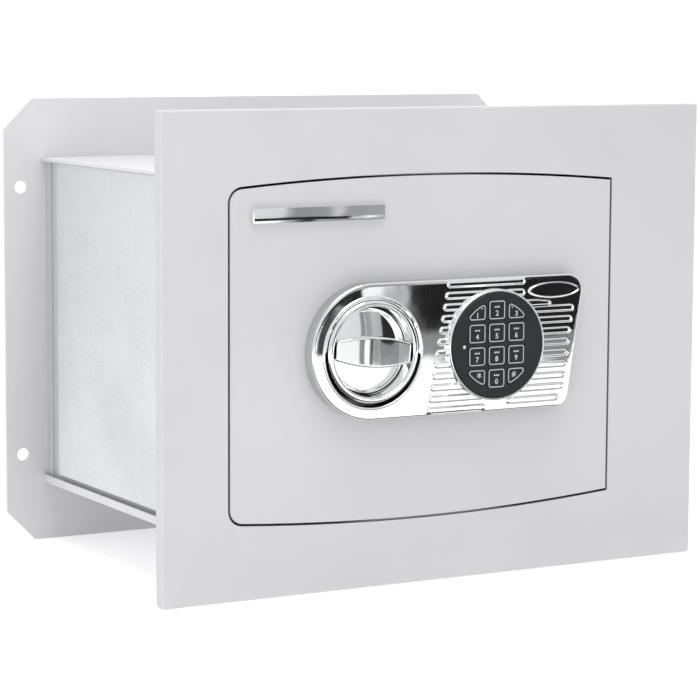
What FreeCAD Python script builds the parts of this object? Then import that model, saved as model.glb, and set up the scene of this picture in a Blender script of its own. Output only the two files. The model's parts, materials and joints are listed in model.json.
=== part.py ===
import FreeCAD, Part
import math
import os
import re
from Sketcher import Constraint as Sketcher_constraint

# A wall safe: a steel box that is walled in up to its front frame. Lengths are in millimetres.
# +X is to the right seen from the room, -Y faces the room and +Z is up.
# The origin is the centre of the rear flange's back face. "Depth" is counted from the front
# frame's face into the wall, so a point at depth d lies at y = d - total_depth.

SIZES = {
    # front frame and rear flange
    "frame_width": 420, "frame_tall": 323, "frame_return": 10, "frame_round": 1.2, "sheet": 3,
    "total_depth": 266, "flange_width": 423, "flange_tall": 324, "flange_chamfer": 22,
    "anchor_across": 397, "anchor_up": 196, "anchor_radius": 4.5,
    # box between frame and flange
    "body_half": 183, "body_rise": 119.3, "panel_half": 182, "panel_gap": 6.3, "panel_end": 236,
    "pan_half": 179.3, "pan_depth": 10, "liner_half": 178, "liner_sheet": 2, "liner_start": 20,
    "box_play": 0.1, "mat_half": 150, "mat_start": 60, "mat_thick": 2,
    # door
    "door_shift": -12.5, "door_width": 297, "door_mid": 231.8, "door_bow": 6.65,
    "door_gap": 1.5, "door_corner": 9.5, "stiff_left": -150, "stiff_right": 98, "stiff_rise": 98,
    "door_box_depth": 42, "door_box_sheet": 1.5, "tab": 10, "cover_screw": 1.5, "cover_head": 3.2,
    # pivot hinge
    "hinge_across": 112, "hinge_depth": 8, "pin_radius": 3, "running_gap": 0.05,
    "knuckle_low": 92, "knuckle_high": 109.5, "knuckle_half": 7, "knuckle_rear": 14,
    "pivot_half": 10, "pivot_rear": 18, "pivot_tall": 9, "spacer_radius": 4.7, "pin_way": 3.4,
    # turn knob and its crank
    "knob_across": -60, "knob_radius": 35.5, "knob_gap": 1, "knob_rear": -0.6, "knob_rim": -12.6,
    "dish_radius": 29.6, "dish_base": 28.8, "dish_floor": -2.6, "rim_round": 1.1,
    "grip_half": 28.6, "grip_mid": 10.35, "grip_bow": 3.85, "grip_proud": -15, "grip_bulge": 2.6,
    "knob_lean": 4.5, "spindle_radius": 6, "spindle_end": 13.4, "clip_front": 11.7,
    "clip_thick": 1, "clip_radius": 8.5, "clip_inner": 5, "bush_radius": 8.5, "bush_proud": 0.3,
    "crank_radius": 13, "crank_pin": 4, "crank_turn": 45, "cam_radius": 18, "cam_front": 7.5,
    "cam_rear": 11.5, "crank_end": 19.5,
    # bolt carriage, locking bolts and their keeper
    "carriage_front": 14, "carriage_rear": 18, "carriage_left": -129, "carriage_right": -4,
    "carriage_rise": 76, "carriage_step": -86, "carriage_low": -46, "ear_rear": 38,
    "ear_thick": 4, "slot_play": 0.55, "throw_length": 18.4, "bolt_radius": 9, "bolt_depth": 28,
    "bolt_up": 56, "bolt_tip": -157, "bolt_play": 0.5, "spigot_radius": 4, "spigot_end": -119,
    "nut_radius": 7.5, "nut_thick": 5, "stud_radius": 3, "stud_head": 5.5, "stud_play": 0.3,
    "stud_head_thick": 2, "stud_left": -112, "stud_right": -30, "stud_up": 66, "stud_low": 34,
    "keeper_across": -166, "keeper_thick": 4, "keeper_rise": 78,
    "keeper_rear": 44, "keeper_foot": -175,
    # blocking solenoid
    "plunger_across": -63, "plunger_depth": 16, "plunger_radius": 3, "plunger_stroke": 5,
    "plunger_top": -49, "plunger_long": 28, "coil_half": 14, "coil_low": -96, "coil_top": -60,
    "coil_front": 6, "coil_rear": 28, "collar_radius": 5.2, "collar_low": -53.5,
    "collar_thick": 1.5, "notch_play": 0.6, "wire_radius": 0.45, "wire_play": 0.4,
    "spring_turns": 5,
    # escutcheon
    "plate_radius": 46, "plate_top_right": 108.4, "plate_low_right": 94.6, "plate_corner": 8.5,
    "plate_proud": 11, "plate_wall": 2, "plate_round": 1.6, "rib_pitch": 7.75, "rib_half": 1.75,
    "rib_left": -18, "rib_margin": 3.6, "rib_lean": 1.42, "rib_proud": 0.9, "lip_proud": 0.8,
    "lip_radius": 38.4, "rib_count": 12, "end_bend": 1.02,
    "post_radius": 4, "screw_radius": 1.6, "screw_head": 3.5, "screw_way": 1.9,
    "screw_left": -12.5, "screw_up": 38, "screw_upper_right": 84, "screw_lower_right": 78,
    "screw_right_up": 36,
    # keypad
    "pad_across": 35, "pad_radius": 36.4, "pad_proud": 16, "bezel_radius": 38.2,
    "bezel_proud": 14.8, "pad_wall": 2, "pad_rear": 4, "pad_play": 0.2, "key_shift": -1.6,
    "key_raise": 0.8,
    "key_pitch": 15.6, "key_half": 6.4, "key_play": 0.3, "key_round": 1.9, "key_arc": 29.6,
    "key_proud": 0.5, "key_lip": 0.7, "key_lip_thick": 0.9, "mat_radius": 33,
    "mat_front": 12, "mat_rear": 10.8, "board_front": 10.7, "board_rear": 9.1,
    "lamp_shift": -27, "lamp_radius": 1.2,
    # badges
    "badge_left": -145.8, "badge_long": 99, "badge_low": 87, "badge_tall": 11, "badge_proud": 3.5,
    "oval_across": 82.5, "oval_up": 35.4, "oval_half": 21, "oval_rise": 5.6, "oval_proud": 1.4,
    # electronics inside the door
    "cable_radius": 2, "cable_up": 25, "cable_hole": 3.5, "control_left": 15,
    "control_right": 90, "control_low": 12, "control_high": 85, "control_front": 10,
    "control_rear": 11.6, "standoff": 2.5, "standoff_inset": 5, "tray_left": 18,
    "tray_right": 84, "tray_low": -82, "tray_high": -26, "tray_front": 22, "tray_rear": 41.5,
    "tray_wall": 1.5, "cell_radius": 7.1, "cell_pitch": 15.6, "cell_long": 50.5, "cell_count": 4,
}

doc = FreeCAD.newDocument("wall_safe")
sheet = doc.addObject("Spreadsheet::Sheet", "Sizes")
for row, (word, value) in enumerate(SIZES.items(), 1):
    sheet.set(f"A{row}", word)
    sheet.set(f"B{row}", str(value))
    sheet.setAlias(f"B{row}", word)
doc.recompute()

pieces = []


def linked(formula):
    """Point every size word in a formula at its cell in the sheet."""
    return re.sub(r"[a-z_]+", lambda word: f"Sizes.{word[0]}" if word[0] in SIZES else word[0],
                  formula)


def bind(thing, name, formula):
    thing.setExpression(name, linked(formula))


def value(formula):
    result = sheet.evalExpression(linked(formula))
    return float(getattr(result, "Value", result))


def keep(thing, label):
    """Name a finished sub-part; its label is also its file's name."""
    thing.Label = label
    pieces.append(thing)
    return thing


def place(thing, across="0", front="0", up="0"):
    """Put a thing's own origin at a place; front is a depth behind the frame's face."""
    bind(thing, "Placement.Base.x", across)
    bind(thing, "Placement.Base.y", f"({front}) - total_depth")
    bind(thing, "Placement.Base.z", up)


# ---- plain solids -------------------------------------------------------------------------

def block(name, across, deep, up):
    """A box between two planes on each axis; deep is a pair of depths."""
    box = doc.addObject("Part::Box", name)
    for side, (low, high) in zip(("Length", "Width", "Height"), (across, deep, up)):
        bind(box, side, f"({high}) - ({low})")
    place(box, across[0], deep[0], up[0])
    return box


TURNS = {"x": FreeCAD.Rotation(FreeCAD.Vector(0, 1, 0), 90),
         "y": FreeCAD.Rotation(FreeCAD.Vector(1, 0, 0), -90),
         "z": FreeCAD.Rotation()}


def rod(name, along, radius, length, across, front, up):
    """A cylinder that starts at a place and runs along +X, +Y (into the wall) or +Z."""
    bar = doc.addObject("Part::Cylinder", name)
    bar.Placement = FreeCAD.Placement(FreeCAD.Vector(), TURNS[along])
    bind(bar, "Radius", radius)
    bind(bar, "Height", length)
    place(bar, across, front, up)
    return bar


def combine(kind, name, shapes):
    whole = doc.addObject(kind, name)
    whole.Shapes = shapes
    return whole


def fuse(name, *shapes):
    return combine("Part::MultiFuse", name, list(shapes))


def common(name, *shapes):
    return combine("Part::MultiCommon", name, list(shapes))


def cut(name, base, *tools):
    """The base with the tools taken away."""
    rest = doc.addObject("Part::Cut", name)
    rest.Base = base
    rest.Tool = tools[0] if len(tools) == 1 else fuse(name + "_tools", *tools)
    return rest


def group(name, *shapes):
    """Separate solids that share one sub-part."""
    several = doc.addObject("Part::Compound", name)
    several.Links = list(shapes)
    return several


def mirrored(name, source, normal):
    twin = doc.addObject("Part::Mirroring", name)
    twin.Source = source
    twin.Normal = normal
    return twin


# ---- sketched solids ----------------------------------------------------------------------

def plane(body, role):
    return next(face for face in body.Origin.OriginFeatures if face.Role == role)


def sketch_on(body, role, name):
    sketch = body.newObject("Sketcher::SketchObject", name)
    sketch.AttachmentSupport = (plane(body, role), [""])
    sketch.MapMode = "FlatFace"
    return sketch


def arc_between(start, end, radius):
    """An arc that bulges outward on a loop drawn anticlockwise."""
    chord = end - start
    rise = math.sqrt(max(radius ** 2 - (chord.Length / 2) ** 2, 0))
    inward = FreeCAD.Vector(-chord.y, chord.x, 0).normalize()
    centre = (start + end) / 2 + inward * rise
    angles = [math.atan2(point.y - centre.y, point.x - centre.x) for point in (start, end)]
    if angles[1] <= angles[0]:
        angles[1] += 2 * math.pi
    return Part.ArcOfCircle(Part.Circle(centre, FreeCAD.Vector(0, 0, 1), radius), *angles)


def hold(sketch, kind, element, point, formula):
    """Bind one coordinate of a sketch point to the sheet."""
    index = sketch.addConstraint(Sketcher_constraint(kind, -1, 1, element, point, value(formula)))
    sketch.setExpression(f"Constraints[{index}]", linked(formula))


def draw_loop(sketch, corners):
    """A closed loop, anticlockwise. A corner is (x, y), or (x, y, radius) where an arc starts."""
    points = [FreeCAD.Vector(value(corner[0]), value(corner[1]), 0) for corner in corners]
    first = sketch.GeometryCount
    for index, corner in enumerate(corners):
        start, end = points[index], points[(index + 1) % len(points)]
        if len(corner) == 3:
            sketch.addGeometry(arc_between(start, end, value(corner[2])), False)
            bend = sketch.addConstraint(
                Sketcher_constraint("Radius", first + index, value(corner[2])))
            sketch.setExpression(f"Constraints[{bend}]", linked(corner[2]))
        else:
            sketch.addGeometry(Part.LineSegment(start, end), False)
    for index, corner in enumerate(corners):
        following = first + (index + 1) % len(corners)
        sketch.addConstraint(Sketcher_constraint("Coincident", first + index, 2, following, 1))
        hold(sketch, "DistanceX", first + index, 1, corner[0])
        hold(sketch, "DistanceY", first + index, 1, corner[1])


def draw_circle(sketch, across, up, radius):
    middle = FreeCAD.Vector(value(across), value(up), 0)
    index = sketch.addGeometry(
        Part.Circle(middle, FreeCAD.Vector(0, 0, 1), value(radius)), False)
    size = sketch.addConstraint(Sketcher_constraint("Radius", index, value(radius)))
    sketch.setExpression(f"Constraints[{size}]", linked(radius))
    hold(sketch, "DistanceX", index, 3, across)
    hold(sketch, "DistanceY", index, 3, up)


def new_body(label):
    return keep(doc.addObject("PartDesign::Body", label), label)


def outline(body, depth, loops, circles, name):
    """A sketch parallel to the frame's face at a depth; its normal points to the room."""
    sketch = sketch_on(body, "XZ_Plane", name)
    bind(sketch, "AttachmentOffset.Base.z", f"total_depth - ({depth})")
    for corners in loops:
        draw_loop(sketch, corners)
    for circle in circles:
        draw_circle(sketch, *circle)
    return sketch


def pad(body, deep, loops=(), circles=()):
    """Material between two depths."""
    feature = body.newObject("PartDesign::Pad", body.Name + "_pad")
    feature.Profile = outline(body, deep[1], loops, circles, body.Name + "_pad_sketch")
    bind(feature, "Length", f"({deep[1]}) - ({deep[0]})")
    return feature


def pocket(body, deep, loops=(), circles=()):
    """A cut between two depths."""
    feature = body.newObject("PartDesign::Pocket", body.Name + "_pocket")
    feature.Profile = outline(body, deep[0], loops, circles, body.Name + "_pocket_sketch")
    bind(feature, "Length", f"({deep[1]}) - ({deep[0]})")
    return feature


def round_edges(body, radius, chosen):
    """Round the edges of a body's last feature that pass a test."""
    doc.recompute()
    last = body.Tip
    names = [f"Edge{number}" for number, edge in enumerate(last.Shape.Edges, 1) if chosen(edge)]
    feature = body.newObject("PartDesign::Fillet", body.Name + "_fillet")
    feature.Base = (last, names)
    bind(feature, "Radius", radius)
    return feature


def turned(label, corners, across, up="0"):
    """A body of revolution about the depth axis; corners are (radius, depth)."""
    body = new_body(label)
    sketch = sketch_on(body, "XY_Plane", label + "_sketch")
    draw_loop(sketch, corners)
    spin = body.newObject("PartDesign::Revolution", label + "_turn")
    spin.Profile = sketch
    spin.ReferenceAxis = (sketch, ["V_Axis"])
    spin.Angle = 360
    place(body, across, "0", up)
    return body


def into_wall(edge):
    """True for a straight edge that runs along the depth."""
    ends = [vertex.Point for vertex in edge.Vertexes]
    return len(ends) == 2 and abs(ends[0].x - ends[1].x) + abs(ends[0].z - ends[1].z) < 0.001


def rectangle(left, right, low, high):
    return [(left, low), (right, low), (right, high), (left, high)]


def ring_corners(inner, outer, front, rear):
    """Section of a plain ring, anticlockwise."""
    return [(inner, front), (outer, front), (outer, rear), (inner, rear)]


# ---- box, frame and flange: the root body --------------------------------------------------

def bowed(grow):
    """The door's outline, larger by grow on every side: upright sides, bowed top and bottom."""
    left, right = f"door_shift - door_width/2 - {grow}", f"door_shift + door_width/2 + {grow}"
    corner = f"door_mid/2 - door_bow + {grow}"
    bow = f"((door_width/2 + {grow})^2 + door_bow^2)/(2*door_bow)"
    return [(left, f"-({corner})", bow), (right, f"-({corner})"), (right, corner, bow),
            (left, corner)]


def front_frame():
    body = new_body("front_frame")
    half, rise = "frame_width/2", "frame_tall/2"
    pad(body, ("0", "frame_return"), [rectangle(f"-{half}", half, f"-{rise}", rise)])
    face = value("-total_depth")
    round_edges(body, "frame_round",
                lambda edge: into_wall(edge) or edge.CenterOfMass.y < face + 1)
    inner, top = f"({half} - sheet)", f"({rise} - sheet)"
    pocket(body, ("sheet", "frame_return"), [rectangle(f"-{inner}", inner, f"-{top}", top)])
    pocket(body, ("0", "sheet"), [bowed("door_gap")])
    left = value("door_shift - door_width/2 - door_gap")
    round_edges(body, "door_corner + door_gap",
                lambda edge: into_wall(edge) and abs(edge.CenterOfMass.x - left) < 1)


def rear_flange():
    body = new_body("rear_flange")
    across, up, cut_off = "flange_width/2", "flange_tall/2", "flange_chamfer"
    corners = [(f"-({across} - {cut_off})", f"-{up}"), (f"{across} - {cut_off}", f"-{up}"),
               (across, f"-({up} - {cut_off})"), (across, f"{up} - {cut_off}"),
               (f"{across} - {cut_off}", up), (f"-({across} - {cut_off})", up),
               (f"-{across}", f"{up} - {cut_off}"), (f"-{across}", f"-({up} - {cut_off})")]
    pad(body, ("total_depth - sheet", "total_depth"), [corners])
    holes = [(f"{side}*anchor_across/2", f"{end}*anchor_up/2", "anchor_radius")
             for side in (-1, 1) for end in (-1, 1)]
    pocket(body, ("total_depth - sheet", "total_depth"), circles=holes)


def body_plate(label, side):
    """Top (side 1) or bottom (side -1) plate; the hinge pin passes through it."""
    top, bottom = ("body_rise - sheet", "body_rise"), ("-body_rise", "-body_rise + sheet")
    faces = top if side > 0 else bottom
    plate = block(label + "_sheet", ("-body_half", "body_half"),
                  ("sheet", "total_depth - sheet"), faces)
    hole = rod(label + "_hole", "z", "pin_way", "sheet*3",
               "hinge_across", "hinge_depth", f"{faces[0]} - sheet")
    keep(cut(label, plate, hole), label)


def side_panel(label, side):
    faces = sorted((f"{side}*panel_half", f"{side}*(panel_half - sheet)"), key=value)
    keep(block(label, faces, ("sheet", "panel_end"),
               ("-body_rise + sheet + panel_gap", "body_rise - sheet")), label)


def liner():
    """Four-sided inner box between the hinge space and the back pan."""
    rise = "(body_rise - sheet - box_play)"
    deep = ("liner_start", "total_depth - sheet - pan_depth")
    outer = block("liner_outer", ("-liner_half", "liner_half"), deep, (f"-{rise}", rise))
    inner = block("liner_inner", ("-liner_half + liner_sheet", "liner_half - liner_sheet"), deep,
                  (f"-{rise} + liner_sheet", f"{rise} - liner_sheet"))
    keep(cut("inner_liner", outer, inner), "inner_liner")


def back_pan():
    """Shallow tray that closes the box in front of the flange."""
    rise = "(body_rise - sheet - box_play)"
    front, rear = "total_depth - sheet - pan_depth", "total_depth - sheet"
    outer = block("pan_outer", ("-pan_half", "pan_half"), (front, rear), (f"-{rise}", rise))
    inner = block("pan_inner", ("-pan_half + sheet*1.5", "pan_half - sheet*1.5"),
                  (front, f"{rear} - sheet"), (f"-{rise} + sheet", f"{rise} - sheet"))
    keep(cut("back_pan", outer, inner), "back_pan")


def floor_mat():
    floor = "-body_rise + sheet + box_play + liner_sheet"
    keep(block("floor_mat", ("-mat_half", "mat_half"),
               ("mat_start", "total_depth - sheet - pan_depth"),
               (floor, f"{floor} + mat_thick")), "floor_mat")


def pivot_blocks():
    """Welded blocks outside the box's top and bottom that carry the hinge pins."""
    outer = block("pivot_outer", ("hinge_across - pivot_half", "hinge_across + pivot_half"),
                  ("sheet", "pivot_rear"), ("body_rise", "body_rise + pivot_tall"))
    bore = rod("pivot_bore", "z", "pin_radius + running_gap", "pivot_tall",
               "hinge_across", "hinge_depth", "body_rise")
    upper = cut("pivot_upper", outer, bore)
    keep(group("hinge_blocks", upper, mirrored("pivot_lower", upper, (0, 0, 1))), "hinge_blocks")


def pivot_spacers():
    """Tubes around the pins that keep the door centred between the two plates."""
    low, high = "knuckle_high + box_play", "body_rise - sheet - box_play"
    outer = rod("spacer_outer", "z", "spacer_radius", f"{high} - ({low})",
                "hinge_across", "hinge_depth", low)
    bore = rod("spacer_bore", "z", "pin_radius + running_gap", f"{high} - ({low})",
               "hinge_across", "hinge_depth", low)
    upper = cut("spacer_upper", outer, bore)
    keep(group("pivot_spacers", upper, mirrored("spacer_lower", upper, (0, 0, 1))),
         "pivot_spacers")


def bolt_keeper():
    """Angle behind the frame's left side with two holes for the locking bolts."""
    leg = block("keeper_leg", ("keeper_across - keeper_thick", "keeper_across"),
                ("sheet", "keeper_rear"), ("-keeper_rise", "keeper_rise"))
    foot = block("keeper_foot_plate", ("keeper_foot", "keeper_across"), ("sheet", "sheet*2"),
                 ("-keeper_rise", "keeper_rise"))
    holes = [rod(f"keeper_hole_{name}", "x", "bolt_radius + bolt_play", "keeper_thick*2",
                 "keeper_across - keeper_thick*1.5", "bolt_depth", f"{side}*bolt_up")
             for name, side in (("upper", 1), ("lower", -1))]
    keep(cut("bolt_keeper", fuse("keeper_angle", leg, foot), *holes), "bolt_keeper")


# ---- door ----------------------------------------------------------------------------------

SCREW_PLACES = (("screw_left", "screw_up"), ("screw_left", "-screw_up"),
                ("screw_upper_right", "screw_right_up"), ("screw_lower_right", "-screw_right_up"))
STUD_PLACES = (("stud_left", "stud_up"), ("stud_right", "stud_up"), ("stud_left", "-stud_up"),
               ("stud_right", "-stud_low"))


def door_holes():
    """Holes through the door's two sheets: bush, cable and escutcheon screws."""
    return [("knob_across", "0", "bush_radius"), ("pad_across", "cable_up", "cable_hole"),
            *[(*spot, "screw_way") for spot in SCREW_PLACES]]


def door_skin():
    body = new_body("door_skin")
    pad(body, ("0", "sheet"), [bowed("0")])
    left = value("door_shift - door_width/2")
    round_edges(body, "door_corner",
                lambda edge: into_wall(edge) and abs(edge.CenterOfMass.x - left) < 1)
    pocket(body, ("0", "sheet"), circles=door_holes())


def door_stiffener():
    body = new_body("door_stiffener")
    pad(body, ("sheet", "sheet*2"),
        [rectangle("stiff_left", "stiff_right", "-stiff_rise", "stiff_rise")])
    pocket(body, ("sheet", "sheet*2"), circles=door_holes())


def tab_centre(side, end):
    """Middle of one corner tab inside the door box; the cover is screwed to it."""
    wall = "(door_box_sheet + tab/2)"
    across = f"stiff_right - {wall}" if side > 0 else f"stiff_left + {wall}"
    return across, f"{end}*(stiff_rise - {wall})"


CORNERS = [(side, end) for side in (-1, 1) for end in (-1, 1)]


def door_box():
    """Four-sided frame behind the door that holds the lock; two bolts pass its left side."""
    deep = ("sheet*2", "door_box_depth")
    outer = block("door_box_outer", ("stiff_left", "stiff_right"), deep,
                  ("-stiff_rise", "stiff_rise"))
    inner = block("door_box_inner",
                  ("stiff_left + door_box_sheet", "stiff_right - door_box_sheet"), deep,
                  ("-stiff_rise + door_box_sheet", "stiff_rise - door_box_sheet"))
    tabs, screws = [], []
    for number, corner in enumerate(CORNERS):
        across, up = tab_centre(*corner)
        tabs.append(block(f"tab_{number}", (f"{across} - tab/2", f"{across} + tab/2"),
                          ("door_box_depth - tab", "door_box_depth"),
                          (f"{up} - tab/2", f"{up} + tab/2")))
        screws.append(rod(f"tab_hole_{number}", "y", "cover_screw", "tab", across,
                          "door_box_depth - tab", up))
    bolts = [rod(f"door_box_hole_{name}", "x", "bolt_radius + bolt_play", "door_box_sheet*3",
                 "stiff_left - door_box_sheet", "bolt_depth", f"{side}*bolt_up")
             for name, side in (("upper", 1), ("lower", -1))]
    ring = cut("door_box_ring", outer, inner)
    keep(cut("door_side_frame", fuse("door_box_tabs", ring, *tabs), *screws, *bolts),
         "door_side_frame")


def door_cover():
    body = new_body("door_inner_cover")
    deep = ("door_box_depth", "door_box_depth + door_box_sheet")
    pad(body, deep, [rectangle("stiff_left", "stiff_right", "-stiff_rise", "stiff_rise")])
    pocket(body, deep, circles=[(*tab_centre(*corner), "cover_screw") for corner in CORNERS])
    screws = []
    for number, corner in enumerate(CORNERS):
        across, up = tab_centre(*corner)
        shank = rod(f"cover_shank_{number}", "y", "cover_screw", "tab", across,
                    "door_box_depth + door_box_sheet - tab", up)
        head = rod(f"cover_head_{number}", "y", "cover_head", "door_box_sheet", across,
                   "door_box_depth + door_box_sheet", up)
        screws.append(fuse(f"cover_screw_{number}", shank, head))
    keep(group("cover_screws", *screws), "cover_screws")


def hinge_leaf():
    """Knuckles on the back of the door skin and the pins pressed into them."""
    outer = block("knuckle_outer", ("hinge_across - knuckle_half", "hinge_across + knuckle_half"),
                  ("sheet", "knuckle_rear"), ("knuckle_low", "knuckle_high"))
    bore = rod("knuckle_bore", "z", "pin_radius", "knuckle_high - knuckle_low",
               "hinge_across", "hinge_depth", "knuckle_low")
    upper = cut("knuckle_upper", outer, bore)
    keep(group("door_knuckles", upper, mirrored("knuckle_lower", upper, (0, 0, 1))),
         "door_knuckles")
    pin = rod("pin_upper", "z", "pin_radius", "body_rise + pivot_tall - sheet/2 - knuckle_low",
              "hinge_across", "hinge_depth", "knuckle_low")
    keep(group("hinge_pins", pin, mirrored("pin_lower", pin, (0, 0, 1))), "hinge_pins")


# ---- escutcheon and badges -----------------------------------------------------------------

def shield(grow):
    """Escutcheon outline: a half round left end and a leaning right end."""
    radius = f"(plate_radius + {grow})"
    left = f"knob_across - {radius}"
    return [("knob_across", f"-{radius}"), (f"plate_low_right + {grow}", f"-{radius}"),
            (f"plate_top_right + {grow}", radius), ("knob_across", radius, radius),
            (left, "0", radius)]


def rib_loop(number):
    """One raised rib, counted upward from the lowest, with rounded ends."""
    up = f"(rib_pitch*({number} - (rib_count - 1)/2))"
    left = f"rib_left + rib_lean*{number}"
    edge = f"(plate_top_right - plate_low_right)*({up} + plate_radius)/(2*plate_radius)"
    right = f"plate_low_right + {edge} - rib_margin"
    bend = "rib_half*end_bend"
    return [(left, f"{up} - rib_half"), (right, f"{up} - rib_half", bend),
            (right, f"{up} + rib_half"), (left, f"{up} + rib_half", bend)]


def oval(grow):
    half, rise = f"(oval_half + {grow})", f"(oval_rise + {grow})"
    bend = f"({half}^2 + {rise}^2)/(2*{rise})"
    return [(f"oval_across - {half}", "oval_up", bend), (f"oval_across + {half}", "oval_up", bend)]


def escutcheon():
    body = new_body("escutcheon")
    pad(body, ("-plate_proud", "0"), [shield("0")])
    middle = value("pad_across")
    round_edges(body, "plate_corner",
                lambda edge: into_wall(edge) and edge.CenterOfMass.x > middle)
    face = value("-plate_proud - total_depth")
    round_edges(body, "plate_round", lambda edge: abs(edge.CenterOfMass.y - face) < 0.001)
    pocket(body, ("plate_wall - plate_proud", "0"), [shield("-plate_wall")])
    pad(body, ("plate_wall - plate_proud", "0"),
        circles=[(*spot, "post_radius") for spot in SCREW_PLACES])
    pocket(body, ("plate_wall/2 - plate_proud", "0"),
           circles=[(*spot, "screw_radius") for spot in SCREW_PLACES])
    pad(body, ("-plate_proud - rib_proud", "-plate_proud"),
        [rib_loop(number) for number in range(SIZES["rib_count"])])
    pocket(body, ("-plate_proud - rib_proud", "-plate_proud"), [oval("1")],
           [("pad_across", "0", "bezel_radius")])
    pad(body, ("-plate_proud - lip_proud", "plate_wall - plate_proud"),
        circles=[("knob_across", "0", "lip_radius")])
    pocket(body, ("-plate_proud - lip_proud", "0"),
           circles=[("knob_across", "0", "knob_radius + knob_gap"),
                    ("pad_across", "0", "pad_radius + pad_play")])


def escutcheon_screws():
    screws = []
    for number, (across, up) in enumerate(SCREW_PLACES):
        shank = rod(f"shank_{number}", "y", "screw_radius", "plate_proud/2 + sheet*2", across,
                    "-plate_proud/2", up)
        head = rod(f"head_{number}", "y", "screw_head", "screw_radius*1.5", across, "sheet*2", up)
        screws.append(fuse(f"screw_{number}", shank, head))
    keep(group("escutcheon_screws", *screws), "escutcheon_screws")


def badges():
    bar = new_body("door_badge")
    pad(bar, ("-badge_proud", "0"), [rectangle("badge_left", "badge_left + badge_long",
                                               "badge_low", "badge_low + badge_tall")])
    round_edges(bar, "badge_proud/4", into_wall)
    plate = new_body("oval_badge")
    pad(plate, ("-plate_proud - oval_proud", "-plate_proud"), [oval("0")])
    round_edges(plate, "badge_proud/2", into_wall)


# ---- turn knob and crank -------------------------------------------------------------------

def knob():
    """Dished disc with a barrel-shaped grip bar across it."""
    disc = turned("knob_disc", [
        ("0", "dish_floor"), ("dish_base", "dish_floor"), ("dish_radius", "knob_rim + rim_round"),
        ("dish_radius + rim_round", "knob_rim"), ("knob_radius - rim_round", "knob_rim"),
        ("knob_radius", "knob_rim + rim_round"), ("knob_radius", "knob_rear"),
        ("0", "knob_rear")], "knob_across")
    bow = "(grip_half^2 + grip_bow^2)/(2*grip_bow)"
    bulge = "(grip_half^2 + grip_bulge^2)/(2*grip_bulge)"
    bar = doc.addObject("Part::Box", "grip_bar")
    bind(bar, "Length", "2*grip_half")
    bind(bar, "Width", "dish_floor - grip_proud")
    bind(bar, "Height", "2*grip_mid")
    for axis, formula in zip("xyz", ("-grip_half", "grip_proud", "-grip_mid")):
        bind(bar, f"Placement.Base.{axis}", formula)
    rounds = []
    for name, along, size, centre in (
            ("grip_top", "y", bow, ("0", "grip_proud", f"grip_mid - {bow}")),
            ("grip_base", "y", bow, ("0", "grip_proud", f"{bow} - grip_mid")),
            ("grip_face", "z", bulge, ("0", f"grip_proud + {bulge}", "-grip_mid"))):
        barrel = rod(name, along, size, "grip_mid*2", "0", "0", "0")
        for axis, formula in zip("xyz", centre):
            bind(barrel, f"Placement.Base.{axis}", formula)
        rounds.append(barrel)
    blank = common("grip_blank", bar, *rounds)
    blank.Placement = FreeCAD.Placement(
        FreeCAD.Vector(), FreeCAD.Rotation(FreeCAD.Vector(0, 1, 0), SIZES["knob_lean"]))
    bind(blank, "Placement.Rotation.Angle", "knob_lean")
    place(blank, "knob_across")
    keep(cut("knob_grip", blank, disc), "knob_grip")


def knob_shaft():
    turned("knob_spindle", [
        ("0", "knob_rear"), ("spindle_radius", "knob_rear"), ("spindle_radius", "clip_front"),
        ("clip_inner", "clip_front"), ("clip_inner", "clip_front + clip_thick"),
        ("spindle_radius", "clip_front + clip_thick"), ("spindle_radius", "spindle_end"),
        ("0", "spindle_end")], "knob_across")
    turned("spindle_clip", ring_corners("clip_inner", "clip_radius", "clip_front",
                                        "clip_front + clip_thick"), "knob_across")
    turned("spindle_bush", ring_corners("spindle_radius + running_gap", "bush_radius",
                                        "-bush_proud", "sheet*2 + bush_proud"), "knob_across")


def crank_pin_place():
    return ("knob_across + crank_radius*sin(crank_turn*1deg)",
            "-crank_radius*cos(crank_turn*1deg)")


def knob_cam():
    """Disc on the spindle with a pin that drives the carriage's slot."""
    body = new_body("knob_cam")
    pad(body, ("cam_front", "cam_rear"), circles=[("knob_across", "0", "cam_radius")])
    pocket(body, ("cam_front", "cam_rear"), circles=[("knob_across", "0", "spindle_radius")])
    pad(body, ("cam_rear", "crank_end"), circles=[(*crank_pin_place(), "crank_pin")])


# ---- bolt carriage -------------------------------------------------------------------------

def level_slot(left, right, up, half):
    bend = f"({half})*end_bend"
    return [(left, f"{up} - ({half})"), (right, f"{up} - ({half})", bend),
            (right, f"{up} + {half}"), (left, f"{up} + {half}", bend)]


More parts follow.
